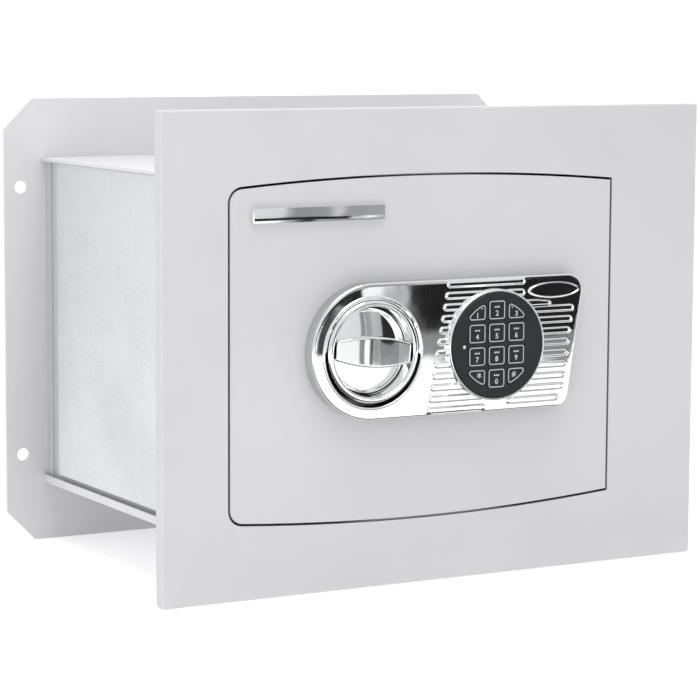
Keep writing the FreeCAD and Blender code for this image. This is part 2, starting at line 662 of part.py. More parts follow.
def bolt_carriage():
    body = new_body("bolt_carriage")
    deep = ("carriage_front", "carriage_rear")
    pad(body, deep, [[("carriage_left", "-carriage_rise"), ("carriage_step", "-carriage_rise"),
                      ("carriage_step", "carriage_low"), ("carriage_right", "carriage_low"),
                      ("carriage_right", "carriage_rise"), ("carriage_left", "carriage_rise")]])
    pad(body, ("carriage_rear", "ear_rear"),
        [rectangle("carriage_left", "carriage_left + ear_thick", "-carriage_rise",
                   "carriage_rise")])
    half = "stud_radius + stud_play"
    pocket(body, deep, [level_slot(f"{across} - stud_play", f"{across} + throw_length + stud_play",
                                   f"({up})", half) for across, up in STUD_PLACES])
    across, up = crank_pin_place()
    wide = "crank_pin + slot_play"
    pocket(body, deep, [rectangle(f"{across} - ({wide})", f"{across} + {wide}",
                                  f"-crank_radius - ({wide})", f"{up} + {wide}")])
    notch = "plunger_radius + notch_play"
    pocket(body, deep, [
        rectangle(f"plunger_across + {shift} - ({notch})", f"plunger_across + {shift} + {notch}",
                  "carriage_low", "plunger_top + plunger_stroke + notch_play")
        for shift in ("0", "throw_length")])
    sketch = sketch_on(body, "YZ_Plane", "ear_hole_sketch")
    bind(sketch, "AttachmentOffset.Base.z", "carriage_left + ear_thick")
    for side in (-1, 1):
        draw_circle(sketch, "bolt_depth - total_depth", f"{side}*bolt_up", "spigot_radius")
    holes = body.newObject("PartDesign::Pocket", "ear_holes")
    holes.Profile = sketch
    bind(holes, "Length", "ear_thick")


def locking_bolts():
    bolts, nuts = [], []
    for name, side in (("upper", 1), ("lower", -1)):
        up = f"{side}*bolt_up"
        shank = rod(f"bolt_shank_{name}", "x", "bolt_radius", "carriage_left - bolt_tip",
                    "bolt_tip", "bolt_depth", up)
        spigot = rod(f"bolt_spigot_{name}", "x", "spigot_radius", "spigot_end - carriage_left",
                     "carriage_left", "bolt_depth", up)
        bolts.append(fuse(f"bolt_{name}", shank, spigot))
        outer = rod(f"nut_outer_{name}", "x", "nut_radius", "nut_thick",
                    "carriage_left + ear_thick", "bolt_depth", up)
        bore = rod(f"nut_bore_{name}", "x", "spigot_radius", "nut_thick",
                   "carriage_left + ear_thick", "bolt_depth", up)
        nuts.append(cut(f"nut_{name}", outer, bore))
    keep(group("locking_bolts", *bolts), "locking_bolts")
    keep(group("bolt_nuts", *nuts), "bolt_nuts")


def guide_studs():
    """Shouldered studs on the stiffener that the carriage slides on."""
    studs = []
    for number, (across, up) in enumerate(STUD_PLACES):
        stem = rod(f"stud_stem_{number}", "y", "stud_radius",
                   "carriage_rear + stud_play - sheet*2", across, "sheet*2", up)
        head = rod(f"stud_head_{number}", "y", "stud_head", "stud_head_thick", across,
                   "carriage_rear + stud_play", up)
        studs.append(fuse(f"stud_{number}", stem, head))
    keep(group("guide_studs", *studs), "guide_studs")


# ---- blocking solenoid ---------------------------------------------------------------------

def solenoid():
    """Coil, plunger that blocks the carriage, and the spring that pushes the plunger out."""
    coil = block("coil_case", ("plunger_across - coil_half", "plunger_across + coil_half"),
                 ("coil_front", "coil_rear"), ("coil_low", "coil_top"))
    bore = rod("coil_bore", "z", "plunger_radius + running_gap", "coil_top - coil_low - sheet",
               "plunger_across", "plunger_depth", "coil_low + sheet")
    keep(cut("lock_solenoid", coil, bore), "lock_solenoid")
    pin = rod("plunger_pin", "z", "plunger_radius", "plunger_long", "plunger_across",
              "plunger_depth", "plunger_top - plunger_long")
    collar = rod("plunger_collar", "z", "collar_radius", "collar_thick", "plunger_across",
                 "plunger_depth", "collar_low")
    keep(fuse("solenoid_plunger", pin, collar), "solenoid_plunger")
    tall = value("collar_low - coil_top - 2*wire_radius - 2*box_play")
    coil_mean = value("plunger_radius + wire_radius + wire_play")
    wire = value("wire_radius")
    helix = Part.makeHelix(tall / value("spring_turns"), tall, coil_mean)
    section = Part.Wire(Part.makeCircle(wire, FreeCAD.Vector(coil_mean, 0, 0),
                                        FreeCAD.Vector(0, 1, 0)))
    spring = doc.addObject("Part::Feature", "plunger_spring")
    spring.Shape = Part.Wire(helix).makePipeShell([section], True, True)
    place(spring, "plunger_across", "plunger_depth", "coil_top + wire_radius + box_play")
    keep(spring, "plunger_spring")


# ---- keypad --------------------------------------------------------------------------------

KEYS = (("1", -1, 3), ("2", 0, 3), ("3", 1, 3), ("4", -1, 1), ("5", 0, 1), ("6", 1, 1),
        ("7", -1, -1), ("8", 0, -1), ("9", 1, -1), ("star", -1, -3), ("0", 0, -3),
        ("hash", 1, -3))


def key_loop(column, row, grow):
    """A square key; the four corner keys end in an arc about the keypad's middle.

    The row counts half pitches up from the middle."""
    middle = "pad_across + key_shift"
    half = f"(key_half + {grow})"
    across, up = f"{middle} + {column}*key_pitch", f"key_raise + {row}*key_pitch/2"
    if column == 0 or abs(row) == 1:
        return rectangle(f"{across} - {half}", f"{across} + {half}", f"{up} - {half}",
                         f"{up} + {half}")
    arc = f"(key_arc + {grow})"
    side, end = column, row // 3
    near, far = f"(key_pitch - {half})", f"(key_pitch + {half})"
    low = f"key_raise + {end}*(key_pitch*1.5 - {half})"
    corners = [(f"{middle} + {side}*{near}", low), (f"{middle} + {side}*{far}", low),
               (f"{middle} + {side}*{far}", f"key_raise + {end}*sqrt({arc}^2 - {far}^2)"),
               (f"{middle} + {side}*{near}", f"key_raise + {end}*sqrt({arc}^2 - {near}^2)")]
    if side * end < 0:
        corners.reverse()
        corners[0] += (arc,)
    else:
        corners[2] += (arc,)
    return corners


def is_key_corner(edge, lamp):
    """True for an upright corner of a key opening; the round edges' seams don't count."""
    x, z = edge.CenterOfMass.x, edge.CenterOfMass.z
    inside = math.hypot(x - value("pad_across"), z) < value("pad_radius - pad_wall - 1")
    return into_wall(edge) and inside and abs(x - lamp) > value("lamp_radius*1.5")


def keypad_housing():
    body = new_body("keypad_housing")
    pad(body, ("-pad_proud", "-pad_rear"), circles=[("pad_across", "0", "pad_radius")])
    pocket(body, ("pad_wall - pad_proud", "-pad_rear"),
           circles=[("pad_across", "0", "pad_radius - pad_wall")])
    pocket(body, ("-pad_proud", "pad_wall - pad_proud"),
           [key_loop(column, row, "key_play") for _, column, row in KEYS],
           [("pad_across + lamp_shift", "0", "lamp_radius")])
    lamp = value("pad_across + lamp_shift")
    round_edges(body, "key_round + key_play", lambda edge: is_key_corner(edge, lamp))


def keypad_keys():
    for name, column, row in KEYS:
        body = new_body(f"key_{name}")
        lip_front = "pad_wall - pad_proud + box_play"
        pad(body, ("-pad_proud - key_proud", lip_front), [key_loop(column, row, "0")])
        round_edges(body, "key_round", into_wall)
        pad(body, (lip_front, f"{lip_front} + key_lip_thick"), [key_loop(column, row, "key_lip")])


def keypad_layers():
    turned("keypad_bezel", ring_corners("pad_radius + box_play", "bezel_radius", "-bezel_proud",
                                        "-plate_proud"), "pad_across")
    disc = (("key_mat", "mat_front", "mat_rear"), ("keypad_board", "board_front", "board_rear"))
    for label, front, rear in disc:
        turned(label, ring_corners("0", "mat_radius", f"-{front}", f"-{rear}"), "pad_across")
    turned("status_lamp", ring_corners("0", "lamp_radius", "-pad_proud - box_play",
                                       "-mat_front - box_play"), "pad_across + lamp_shift")


# ---- electronics inside the door -----------------------------------------------------------

def electronics():
    keep(rod("keypad_cable", "y", "cable_radius", "board_rear + control_front", "pad_across",
             "-board_rear", "cable_up"), "keypad_cable")
    keep(block("control_board", ("control_left", "control_right"),
               ("control_front", "control_rear"), ("control_low", "control_high")),
         "control_board")
    posts = []
    for number, (side, end) in enumerate(CORNERS):
        across = "control_left + standoff_inset" if side < 0 else "control_right - standoff_inset"
        up = "control_low + standoff_inset" if end < 0 else "control_high - standoff_inset"
        posts.append(rod(f"standoff_{number}", "y", "standoff", "control_front - sheet*2",
                         across, "sheet*2", up))
    keep(group("board_standoffs", *posts), "board_standoffs")
    outer = block("tray_outer", ("tray_left", "tray_right"), ("tray_front", "tray_rear"),
                  ("tray_low", "tray_high"))
    inner = block("tray_inner", ("tray_left + tray_wall", "tray_right - tray_wall"),
                  ("tray_front + tray_wall", "tray_rear"),
                  ("tray_low + tray_wall", "tray_high - tray_wall"))
    keep(cut("battery_tray", outer, inner), "battery_tray")
    middle = "(tray_left + tray_right)/2"
    cells = [rod(f"cell_{number}", "z", "cell_radius", "cell_long",
                 f"{middle} + ({number} - (cell_count - 1)/2)*cell_pitch",
                 "tray_front + tray_wall + cell_radius",
                 "(tray_low + tray_high - cell_long)/2") for number in range(SIZES["cell_count"])]
    keep(group("batteries", *cells), "batteries")


# ---- build, check and write ----------------------------------------------------------------

def build():
    front_frame()
    rear_flange()
    body_plate("body_top_plate", 1)
    body_plate("body_bottom_plate", -1)
    side_panel("side_panel_left", -1)
    side_panel("side_panel_right", 1)
    for make in (liner, back_pan, floor_mat, pivot_blocks, pivot_spacers, bolt_keeper,
                 door_skin, door_stiffener, door_box, door_cover, hinge_leaf, escutcheon,
                 escutcheon_screws, badges, knob, knob_shaft, knob_cam, bolt_carriage,
                 locking_bolts, guide_studs, solenoid, keypad_housing, keypad_keys,
                 keypad_layers, electronics):
        make()
    doc.recompute()


def check():
    """Stop before anything is written if a feature failed or a sub-part has no sound shape."""
    for thing in doc.Objects:
        bad = {"Invalid", "Error"} & set(thing.State)
        if bad:
            raise RuntimeError(f"{thing.Name} is {bad}")
    for piece in pieces:
        if piece.Shape.isNull() or not piece.Shape.isValid() or not piece.Shape.Solids:
            raise RuntimeError(f"{piece.Label} has no sound solid")


build()
check()
os.makedirs("parts", exist_ok=True)
for piece in pieces:
    piece.Shape.exportStep(f"parts/{piece.Label}.step")
print(len(pieces), "parts written")
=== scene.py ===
"""A wall safe: powder-coated frame, box and door, chrome lock plate with a turn knob and a round keypad.

Shapes are worked out in millimetres in the part's own frame, with depth counted from the front frame's face
into the wall, and are scaled to metres when a mesh is made.
"""
import json
import math

import bmesh
import bpy
import numpy as np
from mathutils import Matrix, Vector
from mathutils.geometry import delaunay_2d_cdt, tessellate_polygon


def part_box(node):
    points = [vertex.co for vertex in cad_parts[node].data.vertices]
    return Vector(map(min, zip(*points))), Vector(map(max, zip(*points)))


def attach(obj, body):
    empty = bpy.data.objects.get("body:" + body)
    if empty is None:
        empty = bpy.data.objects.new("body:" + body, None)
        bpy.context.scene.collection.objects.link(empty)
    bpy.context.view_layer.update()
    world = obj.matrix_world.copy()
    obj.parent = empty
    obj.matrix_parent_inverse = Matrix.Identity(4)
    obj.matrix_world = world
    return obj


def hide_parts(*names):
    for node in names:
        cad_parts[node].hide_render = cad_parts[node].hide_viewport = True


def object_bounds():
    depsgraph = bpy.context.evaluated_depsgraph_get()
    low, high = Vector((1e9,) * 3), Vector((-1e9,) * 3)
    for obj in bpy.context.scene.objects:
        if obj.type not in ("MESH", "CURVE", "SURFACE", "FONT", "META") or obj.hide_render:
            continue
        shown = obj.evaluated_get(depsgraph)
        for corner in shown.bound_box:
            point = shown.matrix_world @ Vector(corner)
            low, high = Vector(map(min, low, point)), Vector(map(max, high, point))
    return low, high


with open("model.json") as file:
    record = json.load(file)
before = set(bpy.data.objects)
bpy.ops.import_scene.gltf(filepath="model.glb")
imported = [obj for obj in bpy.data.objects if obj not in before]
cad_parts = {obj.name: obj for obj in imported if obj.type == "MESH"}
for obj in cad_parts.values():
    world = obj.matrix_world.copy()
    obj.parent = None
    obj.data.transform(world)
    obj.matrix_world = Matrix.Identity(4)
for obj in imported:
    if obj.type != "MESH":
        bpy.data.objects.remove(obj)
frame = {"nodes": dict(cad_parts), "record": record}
cad_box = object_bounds()

MM = 0.001
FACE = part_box("front_frame")[0].y / MM
FULL, QUARTER = 2 * math.pi, math.pi / 2


def span(node):
    """Lowest and highest corner of a CAD node as (x, depth, z) in millimetres."""
    corners = [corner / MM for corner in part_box(node)]
    return [np.array([corner.x, corner.y - FACE, corner.z]) for corner in corners]


def middle(node):
    low, high = span(node)
    return (low + high) / 2


def half_size(node):
    low, high = span(node)
    return (high - low) / 2


# ---- outlines: anticlockwise loops of (x, z) points ----

def arc(centre, radius, angles):
    """Points at angles about a centre given as (x, z) or (x, depth, z)."""
    return np.column_stack([centre[0] + radius * np.cos(angles), centre[-1] + radius * np.sin(angles)])


def circle(centre, radius, count=160):
    return arc(centre, radius, np.linspace(0, FULL, count, endpoint=False))


def unit(vector):
    return vector / np.linalg.norm(vector)


def turned(angle):
    """The matrix of an anticlockwise turn."""
    return np.array([[math.cos(angle), -math.sin(angle)], [math.sin(angle), math.cos(angle)]])


def rounded(corners, radii, steps=4):
    """A polygon with rounded corners; radii is one number or one for each corner."""
    corners = np.asarray(corners, float)
    points = []
    for index, (corner, radius) in enumerate(zip(corners, np.broadcast_to(radii, len(corners)))):
        back = unit(corners[index - 1] - corner)
        ahead = unit(corners[(index + 1) % len(corners)] - corner)
        half = math.acos(np.clip(back @ ahead, -1, 1)) / 2
        centre = corner + unit(back + ahead) * radius / math.sin(half)
        start = corner + back * radius / math.tan(half) - centre
        turn = math.pi - 2 * half
        points += [centre + turned(turn * step / steps) @ start for step in range(steps + 1)]
    return np.array(points)


def box_corners(left, right, low, high):
    return [(left, low), (right, low), (right, high), (left, high)]


def node_rectangle(node, inset=0):
    """The corners of a CAD node's front view, moved inward by a distance."""
    low, high = span(node)
    return box_corners(low[0] + inset, high[0] - inset, low[2] + inset, high[2] - inset)


def edge_normals(loop):
    """For each point, the outward normals of the edges before and after it."""
    along = np.roll(loop, -1, axis=0) - loop
    along /= np.linalg.norm(along, axis=1)[:, None]
    normal = np.column_stack([along[:, 1], -along[:, 0]])
    return np.roll(normal, 1, axis=0), normal


def offset(loop, distance):
    """The loop moved outward by a distance, mitred at its points."""
    before, after = edge_normals(loop)
    share = 1 + np.sum(after * before, axis=1)
    return loop + distance * (after + before) / share[:, None]


def swollen(loop, radius):
    """A convex loop grown by a radius: sharp corners turn into arcs, gentle ones stay single points."""
    quarter_steps, gentle = 6, 0.2
    points = []
    for corner, before, after in zip(loop, *edge_normals(loop)):
        turn = math.acos(np.clip(before @ after, -1, 1))
        count = max(1, round(quarter_steps * turn / QUARTER))
        for step in range(count + 1) if turn > gentle else [0.5]:
            way = before * math.sin(turn * (1 - step / count)) + after * math.sin(turn * step / count)
            points.append(corner + radius * way / np.linalg.norm(way))
    return np.array(points)


def distance_to(points, loop):
    """Distance from each point to the nearest edge of a loop."""
    nearest = np.full(len(points), np.inf)
    for corner, edge in zip(loop, np.roll(loop, -1, axis=0) - loop):
        part = np.clip((points - corner) @ edge / (edge @ edge), 0, 1)
        nearest = np.minimum(nearest, np.linalg.norm(points - corner - part[:, None] * edge, axis=1))
    return nearest


def away(points, centre, drop=0.0):
    """Distance from each point to a centre given as (x, depth, z), lowered by drop."""
    return np.hypot(points[:, 0] - centre[0], points[:, 1] - centre[2] + drop)


def within(points, loop):
    """Which points lie inside a loop, by counting edges crossed on the way to the right."""
    inside = np.zeros(len(points), bool)
    for (x1, z1), (x2, z2) in zip(loop, np.roll(loop, -1, axis=0)):
        if z1 != z2:
            crosses = (z1 > points[:, 1]) != (z2 > points[:, 1])
            inside ^= crosses & (points[:, 0] < x1 + (points[:, 1] - z1) * (x2 - x1) / (z2 - z1))
    return inside


# ---- mesh building ----

def new_object(name, data):
    thing = bpy.data.objects.new(name, data)
    bpy.context.scene.collection.objects.link(thing)
    return thing


class Skin:
    """Collects rings of points and the faces between them, then becomes one object.

    A ring is a list of point numbers; slot is the material number of the faces added next.
    """

    def __init__(self):
        self.points, self.faces, self.slots, self.slot = [], [], [], 0

    def add_points(self, points):
        first = len(self.points)
        self.points += [tuple(point) for point in points]
        return list(range(first, len(self.points)))

    def add_faces(self, faces):
        self.faces += faces
        self.slots += [self.slot] * len(faces)

    def ring(self, loop, depth):
        return self.add_points([(x, d, z) for (x, z), d in zip(loop, np.broadcast_to(depth, len(loop)))])

    def flat(self, ring):
        return [(self.points[index][0], self.points[index][2]) for index in ring]

    def bridge(self, one, other):
        count = len(one)
        self.add_faces([(one[i], one[(i + 1) % count], other[(i + 1) % count], other[i])
                        for i in range(count)])

    def chain(self, rings):
        """Bridge each ring to the next; returns the first and last ring."""
        for one, other in zip(rings, rings[1:]):
            self.bridge(one, other)
        return rings[0], rings[-1]

    def stack(self, rings):
        """Bridge rings given as (loop, depth); returns the first and last ring."""
        return self.chain([self.ring(loop, depth) for loop, depth in rings])

    def loft(self, sections):
        """A closed piece through loops of (x, depth, z) points, with flat ends."""
        first, last = self.chain([self.add_points(section) for section in sections])
        self.add_faces([tuple(first), tuple(last)])

    def cap(self, outer, holes=()):
        """A flat face inside one ring and outside others."""
        rings = [outer, *holes]
        order = [index for ring in rings for index in ring]
        faces = tessellate_polygon([[Vector((x, z, 0)) for x, z in self.flat(ring)] for ring in rings])
        self.add_faces([tuple(order[corner] for corner in face) for face in faces])

    def close(self, outer, holes=()):
        """Flat faces at both ends of a stack, around the stacks that pass through it."""
        for end in (0, 1):
            self.cap(outer[end], [hole[end] for hole in holes])

    def relief(self, outer, holes, inside, height):
        """A face with a height; inside holds extra points, height gives a depth for (n, 2) points."""
        rings = [outer, *holes]
        order = [index for ring in rings for index in ring]
        flat = [Vector(point) for point in [*self.flat(order), *inside]]
        edges, first = [], 0
        for ring in rings:
            edges += [(first + i, first + (i + 1) % len(ring)) for i in range(len(ring))]
            first += len(ring)
        made, _, faces, origin, _, _ = delaunay_2d_cdt(flat, edges, [], 1, 1e-5)
        made = np.array(made)
        index_of = []
        for point, depth, source in zip(made, height(made), origin):
            known = [number for number in source if number < len(order)]
            if known:
                index_of.append(order[known[0]])
            else:
                index_of.append(len(self.points))
                self.points.append((point[0], depth, point[1]))
        middles = np.array([made[list(face)].mean(axis=0) for face in faces])
        solid = np.ones(len(faces), bool)
        for ring in holes:
            solid &= ~within(middles, np.array(self.flat(ring)))
        self.add_faces([tuple(index_of[corner] for corner in face)
                        for face, keep in zip(faces, solid) if keep])

    def take(self, mesh, matrix):
        """Add another mesh's faces, moved by a matrix into (x, depth, z) in millimetres."""
        made = self.add_points([matrix @ vertex.co for vertex in mesh.vertices])
        self.add_faces([tuple(made[corner] for corner in face.vertices) for face in mesh.polygons])

    def build(self, name, body, materials, node, slot, smooth=35, even=True):
        """Make the object: it rides on a body and stands in for a CAD node, which it hides.

        smooth is the widest angle in degrees that is shaded smoothly, and even keeps large flats free of
        shading drift. slot is not used.
        """
        mesh = bpy.data.meshes.new(name)
        mesh.from_pydata([(x * MM, (d + FACE) * MM, z * MM) for x, d, z in self.points], [], self.faces)
        for material in materials:
            mesh.materials.append(material)
        mesh.polygons.foreach_set("material_index", self.slots)
        work = bmesh.new()
        work.from_mesh(mesh)
        bmesh.ops.remove_doubles(work, verts=work.verts, dist=1e-7)
        bmesh.ops.recalc_face_normals(work, faces=work.faces)
        work.to_mesh(mesh)
        work.free()
        mesh.shade_smooth()
        mesh.set_sharp_from_angle(angle=math.radians(smooth))
        thing = new_object(name, mesh)
        if even:
            thing.modifiers.new("even_normals", "WEIGHTED_NORMAL").keep_sharp = True
        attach(thing, body)
        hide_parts(node)


def edge_rings(loop, front, rear, front_round, rear_round=0.3, steps=4, sign=-1):
    """Rings down a plate's edge: a rounded front, a straight wall and a rounded rear. A hole has sign 1."""
    angles = [QUARTER * step / steps for step in range(steps + 1)]
    rings = [(offset(loop, sign * front_round * (1 - math.sin(angle))),
              front + front_round * (1 - math.cos(angle))) for angle in angles]
    return rings + [(offset(loop, sign * rear_round * (1 - math.cos(angle))),
                     rear - rear_round * (1 - math.sin(angle))) for angle in angles]


def edge_skin(skin, outline, front_round, sign):
    """The sheet's edge along the door gap: a lit rounded corner, then a wall in a dark coat that is painted
    shade in the gap.
    """
    corner_steps = 4
    rings = edge_rings(outline, 0, SHEET, front_round, 0.2, corner_steps, sign)
    front, turn = skin.stack(rings[:corner_steps + 1])
    # The gap wall takes slot 1, the dark coat: painted shade.
    skin.slot = 1
    _, rear = skin.chain([turn] + [skin.ring(loop, depth) for loop, depth in rings[corner_steps + 1:]])
    skin.slot = 0
    return front, rear


def plate(name, body, material, node, outline, front_round=0.5, holes=(), rear_round=0.3):
    """A painted sheet with rounded edges and holes, as deep as its CAD node."""
    low, high = span(node)
    skin = Skin()
    outer = skin.stack(edge_rings(outline, low[1], high[1], front_round, rear_round))
    skin.close(outer, [skin.stack(edge_rings(hole, low[1], high[1], front_round, rear_round, sign=1))
                       for hole in holes])
    skin.build(name, body, [material], node, "grey_powder_coat")


def lathe(name, material, node, slot, centre, profile, count=160):
    """A turned piece of the door about the depth axis; profile is a list of (radius, depth)."""
    skin = Skin()
    ends = skin.stack([(circle(centre, radius, count), depth) for radius, depth in profile])
    if profile[0] != profile[-1]:
        skin.close(ends)
    skin.build(name, "door", [material], node, slot, smooth=60)


def fillet(points, radius, steps):
    """Rounds the inner points of an open profile of (radius, depth) pairs."""
    room = 2.2  # times a fillet's reach
    points = [np.array(point, float) for point in points]
    result = [tuple(points[0])]
    for before, corner, after in zip(points, points[1:], points[2:]):
        back, ahead = before - corner, after - corner
        reach = min(radius, np.linalg.norm(back) / room, np.linalg.norm(ahead) / room)
        start, end = corner + unit(back) * reach, corner + unit(ahead) * reach
        for step in range(steps + 1):
            t = step / steps
            result.append(tuple((1 - t) ** 2 * start + 2 * t * (1 - t) * corner + t * t * end))
    result.append(tuple(points[-1]))
    return result


# ---- materials ----

class Nodes:
    """Builds a material's node tree."""

    def __init__(self, name):
        self.material = bpy.data.materials.new(name)
        self.material.use_nodes = True
        self.tree = self.material.node_tree
        self.shader = self.tree.nodes["Principled BSDF"]
        self.place = self.add("ShaderNodeTexCoord").outputs["Object"]

    def feed(self, socket, value):
        if isinstance(value, bpy.types.NodeSocket):
            self.tree.links.new(value, socket)
        else:
            socket.default_value = value

    def add(self, kind, inputs=None, **settings):
        node = self.tree.nodes.new(kind)
        for key, value in settings.items():
            setattr(node, key, value)
        for key, value in (inputs or {}).items():
            self.feed(node.inputs[key], value)
        return node

    def set(self, **inputs):
        """Sets the shader's inputs and returns the material."""
        for key, value in inputs.items():
            name = "Specular IOR Level" if key == "specular" else key.replace("_", " ").title()
            self.feed(self.shader.inputs[name], value)
        return self.material

    def maths(self, operation, *values):
        return self.add("ShaderNodeMath", dict(enumerate(values)), operation=operation).outputs[0]

    def noise(self, scale, detail=3, rough=0.5, stretch=None):
        place = self.place
        if stretch:
            place = self.add("ShaderNodeMapping", {"Vector": place, "Scale": stretch}).outputs[0]
        return self.add("ShaderNodeTexNoise", {"Vector": place, "Scale": scale, "Detail": detail,
                                               "Roughness": rough}).outputs["Fac"]

    def ramp(self, source, stops):
        """A colour ramp; stops are (position, colour or grey)."""
        node = self.add("ShaderNodeValToRGB", {"Fac": source})
        elements = node.color_ramp.elements
        while len(elements) < len(stops):
            elements.new(0.5)
        for element, (position, colour) in zip(elements, stops):
            element.position = position
            element.color = (*np.broadcast_to(colour, 3), 1)
        return node.outputs["Color"]

    def mix(self, source, low, high, start=0.3, end=0.7):
        """From one colour or grey to another, as the source goes from start to end."""
        return self.ramp(source, [(start, low), (end, high)])

    def bump(self, height, strength, distance, **below):
        return self.add("ShaderNodeBump", {"Height": height, "Strength": strength, "Distance": distance,
                                           **below}).outputs["Normal"]


def powder_coat(name, colour, grain=1.0, rough=0.42, speck=0.15, fade=(0, 0, 0), level=1.0):
    """Baked powder paint: faint orange peel, finer specks and a soft drift in tone.

    speck is the specks' share in the tone. The colour is scaled by level plus fade (per metre) times place,
    which paints light and shade into it: a lighter or darker copy, or a gradient of painted light.
    """
    nodes = Nodes(name)
    drift = nodes.maths("MULTIPLY_ADD", nodes.noise(620, 3, 0.7), speck, nodes.noise(9, 4))
    dark = np.array(colour) * (0.975 - 0.05 * speck)
    light = np.minimum(np.array(colour) * (1.02 + 0.05 * speck), 1)
    tone = nodes.mix(drift, dark, light, 0.3 + speck / 2, 0.7 + speck / 2)
    # Painted light and shade: the colour scaled by level plus fade times place.
    painted_light_scale = nodes.add("ShaderNodeVectorMath", {0: nodes.place, 1: fade}, operation="DOT_PRODUCT")
    painted_light_scale = nodes.maths("ADD", painted_light_scale.outputs["Value"], level)
    tone = nodes.add("ShaderNodeVectorMath", {0: tone, "Scale": painted_light_scale}, operation="SCALE")
    peel = nodes.bump(nodes.noise(420, 2, 0.4), 0.22 * grain, 0.0006)
    return nodes.set(base_color=tone.outputs["Vector"], specular=0.42,
                     roughness=nodes.mix(nodes.noise(160, 2), rough - 0.05, rough + 0.07),
                     normal=nodes.bump(nodes.noise(1500, 2, 0.6), 0.16 * grain, 0.0003, Normal=peel))


def chrome(name, tint=(0.93, 0.94, 0.955), wave=0.05):
    """Polished chrome on a casting: faint waviness, and a little haze where it is handled."""
    nodes = Nodes(name)
    haze = nodes.noise(70, 5, 0.6)
    return nodes.set(metallic=1.0, base_color=nodes.mix(haze, np.array(tint) * 0.96, tint, 0.2, 0.8),
                     roughness=nodes.mix(haze, 0.025, 0.07, 0.35, 0.8),
                     normal=nodes.bump(nodes.noise(38, 1, 0.3), wave, 0.002))


def turned_steel(name, colour, rough=0.3, stretch=(1, 30, 30), scale=60):
    """Plated or drawn steel with fine tool lines across its length."""
    nodes = Nodes(name)
    lines = nodes.noise(scale, 4, 0.6, stretch)
    return nodes.set(metallic=1.0, base_color=nodes.mix(lines, np.array(colour) * 0.85, colour),
                     roughness=nodes.mix(lines, rough, rough + 0.14), normal=nodes.bump(lines, 0.12, 0.0004))


def moulding(name, colour, rough=0.5, grain=1.0, spread=0.12):
    """Moulded plastic or rubber with a fine spark texture."""
    nodes = Nodes(name)
    tone = np.array(colour)
    return nodes.set(base_color=nodes.mix(nodes.noise(45, 4), tone * (1 - spread), tone * (1 + spread)),
                     roughness=nodes.mix(nodes.noise(300, 2), rough - 0.06, rough + 0.06), specular=0.35,
                     normal=nodes.bump(nodes.noise(2600, 2, 0.6), 0.25 * grain, 0.0002))


def printed(name, colour):
    """Printed ink: slightly uneven cover."""
    nodes = Nodes(name)
    return nodes.set(base_color=nodes.mix(nodes.noise(900, 3), np.array(colour) * 0.85, colour, 0.25),
                     roughness=nodes.mix(nodes.noise(500, 2), 0.35, 0.5))


def felt(name, colour):
    """Needled felt: matted fibres and a soft nap."""
    nodes = Nodes(name)
    tone = np.array(colour)
    fibre = nodes.noise(700, 8, 0.75, (1, 0.35, 1))
    return nodes.set(base_color=nodes.mix(fibre, tone * 0.6, tone * 1.35), roughness=0.95, sheen_weight=0.3,
                     normal=nodes.bump(fibre, 0.8, 0.001))


def board(name):
    """Solder mask over copper tracks."""
    nodes = Nodes(name)
    tracks = nodes.add("ShaderNodeTexBrick", {"Vector": nodes.place, "Scale": 90, "Mortar Size": 0.02,
                                              "Color1": (0.02, 0.16, 0.07, 1),
                                              "Color2": (0.015, 0.12, 0.05, 1),
                                              "Mortar": (0.03, 0.26, 0.12, 1)})
    return nodes.set(base_color=tracks.outputs["Color"], roughness=nodes.mix(nodes.noise(200), 0.25, 0.4))


def painted_shade_casting(name):
    """Near-black rough metal for walls inside the gaps: painted shade that stands in for the shadow there."""
    nodes = Nodes(name)
    cloud = nodes.noise(120, 4)
    return nodes.set(metallic=0.3, base_color=nodes.mix(cloud, 0.012, 0.03),
                     roughness=nodes.mix(cloud, 0.5, 0.7))


GREY = (0.625, 0.622, 0.645)
COAT = powder_coat("powder_coat_grey", GREY)
# A darker copy of the coat for the front frame's side return: painted shade.
COAT_RETURN_PAINTED_SHADE = powder_coat("powder_coat_grey_return_painted_shade", GREY, level=0.88)
# The flange's coat, a little lighter overall and lighter towards the top: painted light.
COAT_REAR_PAINTED_LIGHT = powder_coat("powder_coat_grey_rear_painted_light", GREY, fade=(0, 0, 0.6), level=1.06)
# Sanded side coat with real grain and specks, scaled darker towards the back and top and lighter towards the
# front and bottom: painted light and shade.
COAT_SIDE_PAINTED_LIGHT = powder_coat("powder_coat_grey_sanded_painted_light", (0.585, 0.60, 0.62), grain=5.0, rough=0.5, speck=1.0,
                        fade=(0, -0.68, -0.82), level=0.91)
# A darker copy of the grey for the recessed liner and back pan: painted shade.
COAT_INNER_PAINTED_SHADE = powder_coat("powder_coat_inner_painted_shade", (0.50, 0.507, 0.53))
# Dark coat on the walls along the door gap: painted shade in the gap.
GAP_PAINTED_SHADE = powder_coat("powder_coat_gap_painted_shade", (0.34, 0.34, 0.36), grain=2.0, rough=0.7)
# Near-black metal for the walls of the knob's and keypad's openings and the knob's groove and side: painted
# shade.
PAINTED_SHADE_CAST = painted_shade_casting("painted_shade_casting")
CHROME = chrome("chrome_plate")
CHROME_KNOB = chrome("chrome_knob", wave=0.08)
